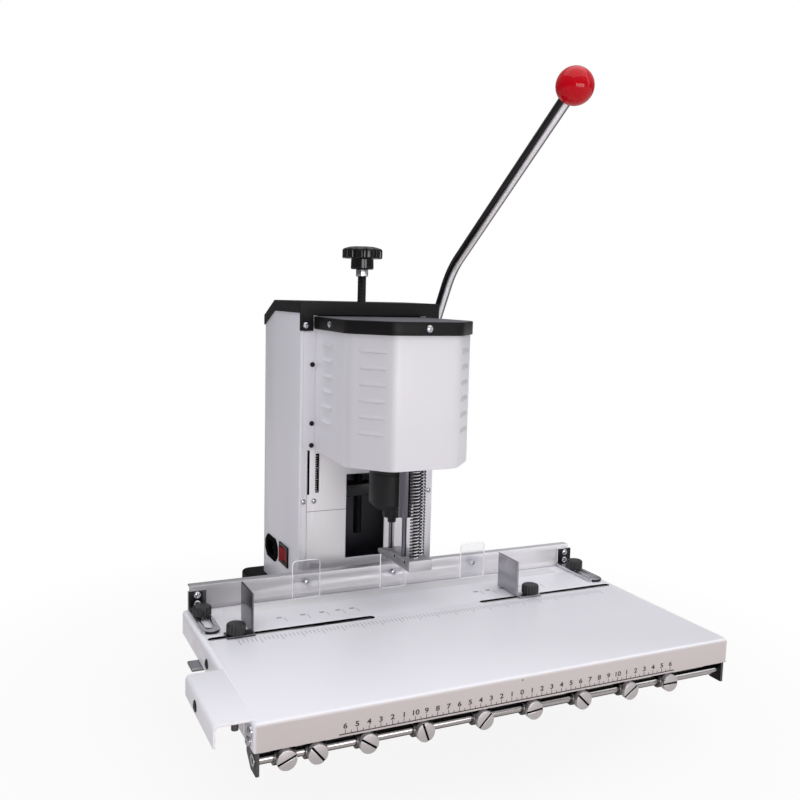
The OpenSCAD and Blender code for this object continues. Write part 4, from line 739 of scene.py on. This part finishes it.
secondFinish(railPlates, lambda p: abs(p.normal.x) > 0.7)


def rodAlong(radius, low, high, edge, y, z, bore=0.0, sides=64):
    # a rod or ring that lies along the table's length
    return lathe(rodProfile(radius, low, high, edge, bore), (0, y, z), "x", sides)


ringLows = (shiftX - bars["half"] - rail["ringThick"], shiftX + bars["half"])
rings = [rodAlong(rail["ring"], low, low + rail["ringThick"], 0.3, rail["y"], rail["z"], rail["ringBore"], 40)
         for low in ringLows]
build("railRings", rings, "screw_steel", "table")
build("slideBars", [rodAlong(bars["radius"], shiftX - bars["half"], shiftX + bars["half"], 0.8, y, bars["z"])
                    for y in bars["y"]], "chrome", "table", ["slide_bars"])
stopRail = rodAlong(rail["radius"], shiftX - rail["half"], shiftX + rail["half"], 0.3, rail["y"], rail["z"])
build("stopRail", [stopRail], "rail_steel", "table", ["stop_rail"])
stops = {"places": (-0.91, -0.80, -0.613, -0.395, -0.152, 0.064, 0.288, 0.516, 0.717),
         "angles": (22, -50, -35, -70, 45, 5, -45, 35, 0), "face": -237.5, "collar": 6.5, "bore": 4.05,
         "long": 18, "stem": 3, "head": 8.0, "thick": 4.0, "slot": 1.6, "groove": 1.5}


def turnedBy(angle):
    # a turn in the plane for points that are kept as rows
    return np.array([[math.cos(angle), math.sin(angle)], [-math.sin(angle), math.cos(angle)]])


def stopShapes(place, angle):
    # a collar on the rail and a slotted head, whose front is two round segments with the slot between them
    x, z, front = shiftX + place * rail["half"], rail["z"], stops["face"] - stops["thick"]
    deep, half, lean = front + stops["groove"], stops["slot"] / 2, math.radians(angle)
    reach = math.asin(half / stops["head"])
    arc = np.linspace(reach, math.pi - reach, 40)
    segment = np.stack([np.cos(arc), np.sin(arc)], -1) * stops["head"]
    floor = np.array([(-1, -1), (1, -1), (1, 1), (-1, 1)]) * (0.97 * stops["head"], half)
    shapes = [lathe(rodProfile(stops["collar"], -stops["long"] / 2, stops["long"] / 2, 0.7, stops["bore"]),
                    (x, rail["y"], z), "x", 56),
              lathe(rodProfile(stops["head"], deep, stops["face"] + 1, 0.3), (x, 0, z), "y", 64),
              lathe(rodProfile(stops["stem"], stops["face"], rail["y"] - 4.2, 0.2), (x, 0, z), "y", 32)]
    for turn in (lean, lean + math.pi):
        shapes.append(prism(segment @ turnedBy(turn), front, deep + 0.02, 0.35, "y", (x, 0, z)))
    # painted shade: a dark floor in the head's slot
    shapes.append(prism(floor @ turnedBy(lean), front + 0.5, deep + 0.1, 0.02, "y", (x, 0, z)))
    return shapes


for number, (place, angle) in enumerate(zip(stops["places"], stops["angles"]), 1):
    build(f"railStop{number}", stopShapes(place, angle), ["collar_steel", "stop_steel", "dark_gap"],
          f"sliding_stop_{number}", [f"stop_{number}"], slots=[0, 1, 1, 1, 1, 2])
# the dome screws' distance behind the front edge and height, with the radius and height of their heads
domeSpots, domeSize = ((8, -8.5), (12.5, -18)), (4.3, 3.2)
domes = [turnedHead((shiftX + s * table["halfX"], table["frontY"] + y, z), (s, 0, 0), *domeSize)
         for s in bothSides for y, z in domeSpots]
build("tableScrews", domes, "screw_steel", "table", ["table_screws"])
# painted shade: dark strips under the table's long slots, seen through them as the slots' shade
slotShade = {"half": 7, "low": -7.4, "high": -6.6}
slotShades = []
for s in bothSides:
    left, right = sorted(shiftX + s * table[k] for k in ("slotIn", "slotOut"))
    slotShades.append(slab((left, table["slotY"] - slotShade["half"], slotShade["low"]),
                       (right, table["slotY"] + slotShade["half"], slotShade["high"]), 0.1, 1))
build("slotShadeStrips", slotShades, "dark_gap", "table")
plug = {"radius": 3.98, "x": 230, "half": 1}
plugs = [rodAlong(plug["radius"], x - plug["half"], x + plug["half"], 0.2, bars["y"][1], bars["z"], sides=40)
         for x in (shiftX + s * plug["x"] for s in bothSides)]
build("holePlugs", plugs, "white_paint", "table")
studs = [turnedHead((shiftX + s * table["halfX"], bars["y"][0], bars["z"]), (s, 0, 0), 4.6, 1.6)
         for s in bothSides]
studs.append(turnedHead((handle["out"], -172, -10.5), (-1, 0, 0), 4.8, 1.4))
build("edgeStuds", studs, "dark_screw", "table")
build("handleStud", [lathe(rodProfile(2.8, -10, -1.9, 0.5), (shiftX - 241, -223, 0), sides=32)], "dark_steel",
      "table")
softCopy("index_pin", 0.6, "grey_steel", "indexPin")
print("table made")


# printed ruler on the front edge and marks on the table top
ruler = {"zero": 14.7, "half": 165, "base": -20.4, "line": 0.9, "tick": 0.26, "step": 5, "steps": 32,
         "long": 3.3, "short": 1.9, "figure": 4.2, "figureZ": -16.2, "stretch": 1.25, "last": 16}
marks = {"half": 200, "step": 4, "tick": 0.25, "y": -77, "long": 13.0, "short": 8.0,
         "places": (148, 124, 104, 87, 72)}


def ink(low, high):
    # a thin flat box
    (x0, y0, z0), (x1, y1, z1) = low, high
    corners = np.array([(x, y, z) for x in (x0, x1) for y in (y0, y1) for z in (z0, z1)], float)
    return corners, boxFaces


def frontMark(x0, z0, x1, z1):
    # a printed patch on the front edge
    return ink((x0, table["frontY"] - 0.06, z0), (x1, table["frontY"] + 0.1, z1))


def topMark(x0, y0, x1, y1):
    # a printed patch on the table top
    return ink((x0, y0, -0.05), (x1, y1, 0.05))


def figure(text, at):
    # the figure's flat outline, stood up on the front face; a nine is a six turned half round
    curve = bpy.data.curves.new("figure", "FONT")
    curve.body, curve.size = text.replace("9", "6"), 1.38 * ruler["figure"]
    curve.align_x, curve.offset = "CENTER", 0.16
    holder = bpy.data.objects.new("figure", curve)
    scene.collection.objects.link(holder)
    bpy.context.view_layer.update()
    flat = holder.evaluated_get(bpy.context.evaluated_depsgraph_get()).to_mesh()
    points = np.zeros(len(flat.vertices) * 3)
    flat.vertices.foreach_get("co", points)
    faces = [np.array([tuple(p.vertices)]) for p in flat.polygons]
    holder.to_mesh_clear()
    bpy.data.objects.remove(holder)
    points = points.reshape(-1, 3)
    if text == "9":
        points = points.min(0) + points.max(0) - points
    x, z = points[:, 0] * ruler["stretch"] + at[0], points[:, 1] + at[2]
    return np.stack([x, np.full(len(x), at[1]), z], -1), faces


zero, base = ruler["zero"], ruler["base"]
frontInk = [frontMark(zero - ruler["half"], base - ruler["line"], zero + ruler["half"], base)]
for step in range(-ruler["steps"], ruler["steps"] + 1):
    x, tall = zero + step * ruler["step"], ruler["long"] if step % 2 == 0 else ruler["short"]
    frontInk.append(frontMark(x - ruler["tick"], base, x + ruler["tick"], base + tall))
frontInk.append(frontMark(zero - 0.6, -4.2, zero + 0.6, -3.0))
for centimetre in range(ruler["last"] + 1):
    text = str(centimetre if centimetre <= 10 else centimetre - 10)
    for s in bothSides if centimetre else (1,):
        frontInk.append(figure(text, (zero + s * centimetre * 10, table["frontY"] - 0.05, ruler["figureZ"])))
build("frontRuler", frontInk, "ink", "table", shade=False)

topInk = []
for step in range(-marks["half"], marks["half"] + 1, marks["step"]):
    x, tall = shiftX + step, marks["long"] if step % 20 == 0 else marks["short"]
    topInk.append(topMark(x - marks["tick"], marks["y"] - tall, x + marks["tick"], marks["y"]))
for place in marks["places"]:
    for s in bothSides:
        x = shiftX + s * place
        topInk.append(topMark(x - 2.6, -37, x + 2.6, -34))
        topInk.append(topMark(x + 4.2, -47, x + 4.8, -37))
build("tableMarks", topInk, "pale_ink", "table", shade=False)
print("printing made")


# fence, guides and clear stops
fence = {"faceY": 10, "bracketX": 218, "screwZ": (8, 17), "stops": (-104.5, -5.5, 93)}
clear = {"wide": 30, "tall": 40, "low": 0.2, "backY": 12.6, "foot": 2, "corner": 5}
softCopy("fence", 1.0, "fence_steel", "fencePlate")
brackets = softCopy("fence_brackets", 0.7, ["polished_steel", "black_steel"], "fenceBrackets")
secondFinish(brackets, lambda p: abs(p.normal.y) > 0.7)
# the left guide takes the darker copy of the guide steel, painted shade
softCopy("side_guide_left", 0.5, "guide_dark", "sideGuideLeft")
softCopy("side_guide_right", 0.5, "guide_steel", "sideGuideRight")
fenceSpots = [((shiftX + s * fence["bracketX"], fence["faceY"], z), forward, 3.4)
              for s in bothSides for z in fence["screwZ"]]
fenceSpots += [((shiftX + x, fence["faceY"], fence["screwZ"][1]), forward, 3.1) for x in fence["stops"]]
build("fenceScrews", heads(fenceSpots, 1.9), "screw_steel", "fence_unit", ["fence_screws"])
halfWide, low, high = clear["wide"] / 2, clear["low"], clear["low"] + clear["tall"]
clearLine = soften([(-halfWide, low), (halfWide, low), (halfWide, high), (-halfWide, high)],
                   [clear["foot"], clear["foot"], clear["corner"], clear["corner"]], 6)
clearShapes = [prism(clearLine, fence["faceY"], clear["backY"], 0.35, "y", (shiftX + x, 0, 0))
               for x in fence["stops"]]
# the clear stops' edge faces take the glowing finish, painted light
clearPiece = build("clearStops", clearShapes, ["clear_plastic", "rim_plastic"], "fence_unit", ["clear_stops"])
secondFinish(clearPiece, lambda p: abs(p.normal.y) <= 0.7)

knobs = {"ribs": 16, "radius": 9, "tall": 10, "dip": 0.09}
# X from the table's middle, Y, seat height, stem radius and stem length of each knob
knobSpots = {"fence_knob_left": (-218, -11, 3.4, 3, 11.4), "fence_knob_right": (218, -11, 3.4, 3, 11.4),
             "guide_knob_left": (-199, -66, 2.4, 1.8, 7.4), "guide_knob_right": (121, -66, 2.4, 1.8, 7.4)}


def ribbed(angle, line):
    # share of the radius on the knob's side: 1 - dip * (1 + a squared-off cosine of the rib count) / 2
    beat = np.cos(knobs["ribs"] * angle)
    ribs = (1 + np.sign(beat) * np.abs(beat) ** 0.5)[None]
    return 1 - knobs["dip"] * 0.5 * ribs * np.clip((line[:, :1] / knobs["radius"] - 0.8) / 0.12, 0, 1)


radius, tall = knobs["radius"], knobs["tall"]
knobLine = soften([(0, 0), (radius * 0.9, 0), (radius, 0.8), (radius, tall - 1.2), (radius * 0.86, tall),
                   (0, tall)], [0, 0.5, 0.6, 1.0, 1.2, 0], 5)
for node, (x, y, z, stem, deep) in knobSpots.items():
    shapes = [lathe(knobLine, (shiftX + x, y, z), sides=knobs["ribs"] * 10, wave=ribbed),
              lathe(rodProfile(stem, z - deep, z + 0.5, 0.3), (shiftX + x, y, 0), sides=32)]
    build(node.replace("_", "-"), shapes, ["black_plastic", "grey_steel"], frame["nodes"][node]["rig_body"],
          [node], slots=[0, 1])
print("fence and guides made")


# carriage, motor, spindle and presser
softCopy("carriage", 1.0, "cast_alloy", "carriageBlock")
softCopy("rack", 0.2, "grey_steel", "feedRack")
softCopy("depth_nut", 0.8, "black_steel", "depthNut")


def bored(outline, rounds, sides, steps=4):
    # a turned piece with a bore, whose outline closes on itself
    line = soften(outline, rounds, steps, False)
    return lathe(np.vstack([line, line[:1]]), sides=sides)


motor = {"low": 91, "high": 265, "radius": 25, "bore": 6.05, "band": 24.6}
motorLine = [(motor["bore"], motor["low"]), (18, motor["low"]), (motor["radius"], 98), (motor["radius"], 130),
             (motor["band"], 130.4), (motor["band"], 131.6), (motor["radius"], 132),
             (motor["radius"], motor["high"]), (motor["bore"], motor["high"])]
build("motorBody", [bored(motorLine, [0, 1.2, 1.2, 0.2, 0.2, 0.2, 0.2, 1.5, 0], 96)], "motor_paint",
      "carriage_unit", ["motor_body"])
spindle = {"low": 76, "high": 262, "nose": 4.3, "collet": 10, "shaft": 6, "bore": 2.2}
colletLine = [(spindle["bore"], spindle["low"]), (spindle["nose"], spindle["low"]), (4.8, 81.6),
              (spindle["collet"], 82), (spindle["collet"], 90.8), (spindle["shaft"], 90.8),
              (spindle["shaft"], spindle["high"]), (spindle["bore"], spindle["high"])]
build("spindle", [bored(colletLine, [0, 0.4, 0.2, 0.8, 0.6, 0.1, 0.5, 0], 64)], "black_steel", "spindle_unit",
      ["spindle"])
bit = {"tip": 42.2, "high": 104, "radius": 3, "bore": 2.2}
bitLine = [(bit["bore"], bit["tip"] + 0.7), (2.75, bit["tip"]), (bit["radius"], bit["tip"] + 1.2),
           (bit["radius"], bit["high"]), (bit["bore"], bit["high"])]
build("drillBit", [bored(bitLine, [0, 0.1, 0.3, 0.3, 0], 40, 3)], "bit_steel", "spindle_unit", ["drill_bit"])

# the guide rod's and the two spring rods' X and Y; the guide rod runs in the tube
rodSpots, rodTops = [(-8.8, -50), (-1.5, -60), (8, -51)], (203, 205, 205)
guideTube = {"radius": 6.5, "low": 94, "high": 215, "edge": 0.7, "bore": 2.55}
presser = {"rod": 2.5, "low": 43.5, "travel": 24, "holeY": (-36, -60), "holeZ": 50.1, "hole": 1.48}
spring = {"radius": 4.6, "wire": 1.5, "low": 53.6, "high": 154, "coils": 32}
returnSpring = {"at": (-28, 92), "radius": 5, "wire": 2, "low": 230, "high": 284, "coils": 16}
build("presserTube", [lathe(rodProfile(**guideTube), (*rodSpots[0], 0), sides=48)], "tube_steel",
      "carriage_unit", ["presser_tube"])
rods = [lathe(rodProfile(presser["rod"], presser["low"], top, 0.5), (*at, 0), sides=32)
        for at, top in zip(rodSpots, rodTops)]
# painted shade: the two rods inside the springs take black steel, so the springs' gaps look shaded
build("presserRods", rods, ["tube_steel", "black_steel"], "presser", ["presser_rods"], slots=[0, 1, 1])
softCopy("presser_foot", 0.45, "aluminium", "presserFoot")
# painted shade: dark discs set into the presser foot's two holes
build("footHoleShades", [rodAlong(presser["hole"], -12.66, -11, 0.05, y, presser["holeZ"], sides=32)
                    for y in presser["holeY"]], "dark_gap", "presser")
springPiece = build("presserSprings", [helix(at, **spring) for at in rodSpots[1:]], "spring_steel",
                    "carriage_unit", ["presser_springs"])
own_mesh(springPiece)
build("returnSpring", [helix(**returnSpring)], "spring_steel", "carriage_unit", ["return_spring"])
print("drill made")


# lever and depth screw
lever = {"x": 95.0, "pivot": (131, 230), "bend": (61, 345), "ball": (-162, 505), "radius": 6.25,
         "ballRadius": 17.3, "round": 22, "sunk": 9, "start": 4, "neck": 5.6, "neckAngle": 0.3}
softCopy("pinion_shaft", 0.6, "grey_steel", "pinionShaft")
pivot, bendAt, ballAt = (np.array(lever[k], float) for k in ("pivot", "bend", "ball"))
lower, upper = ((b - a) / np.linalg.norm(b - a) for a, b in ((pivot, bendAt), (bendAt, ballAt)))
line = soften([pivot + lower * lever["start"], bendAt, ballAt - upper * lever["sunk"]],
              [0, lever["round"], 0], 16, False)
line = np.vstack([np.linspace(line[0], line[1], 12)[:-1], line[1:-1],
                  np.linspace(line[-2], line[-1], 30)[1:]])
path = np.column_stack([np.full(len(line), lever["x"]), line])
build("leverRod", [tube(path, lever["radius"], 40)], "lever_chrome", "lever", ["lever_rod"])
swing = np.linspace(lever["neckAngle"], math.pi, 36)
neckZ = -lever["ballRadius"] * math.cos(lever["neckAngle"]) - 0.4
ballLine = [(0, neckZ), (lever["neck"], neckZ)]
ballLine += [(lever["ballRadius"] * math.sin(a), -lever["ballRadius"] * math.cos(a)) for a in swing]
points, faces = lathe(ballLine, sides=72)
lean = math.atan2(-upper[0], upper[1])
tip = np.array([[1, 0, 0], [0, math.cos(lean), -math.sin(lean)], [0, math.sin(lean), math.cos(lean)]])
build("leverBall", [(points @ tip.T + np.array([lever["x"], *ballAt]), faces)], "red_plastic", "lever",
      ["lever_ball"])

thread = {"low": 40, "high": 360, "radius": 5.0, "pitch": 1.5, "cut": 0.55}
depth = {"at": (0, 96, 0), "nut": 7.5, "nutLow": 335, "nutHigh": 343, "flutes": 12, "flute": 0.12,
         "star": 22.5, "hub": 12.6, "starLow": 355, "starHigh": 366, "top": 368.5}


def threaded(at, low, high, radius, pitch, cut, sides=28):
    # a shaft whose radius follows the thread: radius - cut * |saw(height / pitch - angle / turn)|
    rows = int((high - low) / pitch * 6) + 1
    z, angle = np.linspace(low, high, rows)[:, None], fullTurn(sides)[None]
    saw = np.abs(((z / pitch - angle / (2 * math.pi)) % 1.0) * 2 - 1)
    r = radius - cut * saw
    grid = np.stack([r * np.cos(angle), r * np.sin(angle), z + 0 * angle], -1) + np.array(at)
    return capped(grid, np.add(at, (0, 0, low)), np.add(at, (0, 0, high)))


def fluted(angle, line):
    # rounded lobes: the rim draws in by a cosine of the flute count, only on the star's outer band
    lobes = np.clip(1.6 - 2.4 * np.abs(np.cos(angle * depth["flutes"] / 2)), 0, 1)[None]
    band = np.clip((line[:, :1] / depth["star"] - 0.5) / 0.3, 0, 1)
    return 1 - depth["flute"] * lobes * band


hexagon = [(depth["nut"] * math.cos(a), depth["nut"] * math.sin(a)) for a in np.arange(6) * math.pi / 3]
nut = prism(soften(hexagon, 0.6, 3), depth["nutLow"], depth["nutHigh"], 0.6, "z", depth["at"])
build("depthScrew", [threaded(depth["at"], **thread), nut], ["black_steel", "screw_steel"], "depth_unit",
      ["depth_screw"], slots=[0, 1])
seat, star, starLow, starHigh = (depth[k] for k in ("nutHigh", "star", "starLow", "starHigh"))
starLine = soften([(0, seat), (depth["hub"] - 0.4, seat), (depth["hub"] + 0.3, seat + 1.2),
                   (depth["hub"], starLow - 0.6), (star - 0.7, starLow), (star, starLow + 0.8),
                   (star, starHigh - 1.6), (star - 1.1, starHigh), (14, 368.2), (0, depth["top"])],
                  [0, 0.6, 0.6, 0.6, 0.6, 0.6, 1.2, 1.5, 3, 0], 6, False)
build("depthKnob", [lathe(starLine, depth["at"], sides=192, wave=fluted)], "knob_plastic", "depth_unit",
      ["depth_knob"])
print("lever and depth screw made")


# every CAD node that still shows takes a finish
for name, part in frame["nodes"].items():
    if not part.hide_render:
        part.data.materials.clear()
        part.data.materials.append(finishes[slotOf.get(name) or "grey_steel"])
        print("CAD node kept:", name)


# floor, world and lamps
studio = {"floor": -100.0, "below": 0.2, "span": 9.0, "near": 0.9, "key": 4.0, "front": 23.5, "fill": 13.5,
          "top": 36.0, "sky": 0.5, "mirrorShare": 0.08}


def rayKinds(sheet):
    # whether a ray comes from the camera, through glass or off a glossy surface
    return [sheet.add("ShaderNodeLightPath", None, None, f"Is {kind} Ray")
            for kind in ("Camera", "Transmission", "Glossy")]


floorMesh = bpy.data.meshes.new("studioFloor")
span, floorZ = studio["span"], (studio["floor"] - studio["below"]) * mm
corners = [(-span, -span, floorZ), (span, -span, floorZ), (span, span, floorZ), (-span, span, floorZ)]
floorMesh.from_pydata(corners, [], [(0, 1, 2, 3)])
floorPaint = bpy.data.materials.new("studioFloor")
floorPaint.use_nodes = True
tree = floorPaint.node_tree
tree.nodes.clear()
sheet = Wire(tree)
direct, through, mirror = rayKinds(sheet)
spot = sheet.add("ShaderNodeTexCoord", None, None, "Object")
far = sheet.add("ShaderNodeVectorMath", {"operation": "LENGTH"}, {0: spot}, 1)
shine = (sheet.add("ShaderNodeSeparateXYZ", None, {0: spot}, 0) * 0.35 + 0.25).clip(0.06, 0.6)
seen = (direct + through + mirror * shine).clip(0, 1)
white = (studio["near"] + (far - 0.25) * 0.3).clip(studio["near"], 1.0) * seen
plain = sheet.add("ShaderNodeBsdfDiffuse", None, {"Color": (0.56, 0.52, 0.50, 1)})
glow = sheet.add("ShaderNodeEmission", None, {"Color": (1, 1, 1, 1), "Strength": 1.0})
both = sheet.add("ShaderNodeMixShader", None, {0: white, 1: plain, 2: glow})
output = tree.nodes.new("ShaderNodeOutputMaterial")
tree.links.new(both.socket, output.inputs[0])
floorMesh.materials.append(floorPaint)
floor = bpy.data.objects.new("studioFloor", floorMesh)
scene.collection.objects.link(floor)

world = bpy.data.worlds.new("studioSky")
world.use_nodes = True
scene.world = world
tree = world.node_tree
tree.nodes.clear()
sheet = Wire(tree)
way = sheet.add("ShaderNodeTexCoord", None, None, "Generated")
height = sheet.add("ShaderNodeSeparateXYZ", None, {0: way}, 2)
rightward = sheet.add("ShaderNodeSeparateXYZ", None, {0: way}, 0)
skyTones = [(0.0, (0.3, 0.29, 0.29)), (0.46, (0.12, 0.12, 0.13)), (0.58, (0.3, 0.3, 0.33)),
            (0.74, (1.0, 1.0, 1.04)), (1.0, (1.0, 1.0, 1.04))]
tone = sheet.add("ShaderNodeValToRGB", {"stops": skyTones}, {0: height * 0.5 + 0.5})
direct, through, mirror = rayKinds(sheet)
seen = direct + through + mirror * studio["mirrorShare"]
white = sheet.add("ShaderNodeBackground", None, {0: (1, 1, 1, 1), 1: 1.0})
strength = (rightward * 0.35 + 0.75).clip(0.3, 1.0) * studio["sky"]
sky = sheet.add("ShaderNodeBackground", None, {0: tone, 1: strength})
mixed = sheet.add("ShaderNodeMixShader", None, {0: seen.clip(0, 1), 1: sky, 2: white})
output = tree.nodes.new("ShaderNodeOutputWorld")
tree.links.new(mixed.socket, output.inputs[0])


def lamp(name, at, target, size, power, tone=(1, 1, 1), glossy=True):
    # an area light that looks at its target; glossy says whether surfaces mirror it
    light = bpy.data.lights.new(name, "AREA")
    light.shape, light.size, light.size_y = "RECTANGLE", *size
    light.energy, light.color = power, tone
    holder = bpy.data.objects.new(name, light)
    scene.collection.objects.link(holder)
    holder.visible_glossy = glossy
    back = np.array(at, float) - np.array(target, float)
    back /= np.linalg.norm(back)
    across = np.cross([0, 0, 1.0], back)
    across /= np.linalg.norm(across)
    pose = np.eye(4)
    pose[:3, 0], pose[:3, 1], pose[:3, 2], pose[:3, 3] = across, np.cross(back, across), back, at
    holder.matrix_world = Matrix(pose.tolist())


lamp("keyLamp", (1.7, -1.5, 1.2), (0, 0, 0.1), (0.5, 1.6), studio["key"])
lamp("frontLamp", (-0.1, -2.4, 0.22), (0, 0, 0.1), (2.2, 0.7), studio["front"], (1.0, 0.98, 0.96))
lamp("fillLamp", (-2.3, 0.1, 0.6), (0, 0, 0.1), (1.4, 1.0), studio["fill"], (0.92, 0.95, 1.0), False)
lamp("topLamp", (0.0, -0.3, 2.2), (0, 0, 0), (3.2, 3.0), studio["top"])
print("studio made")
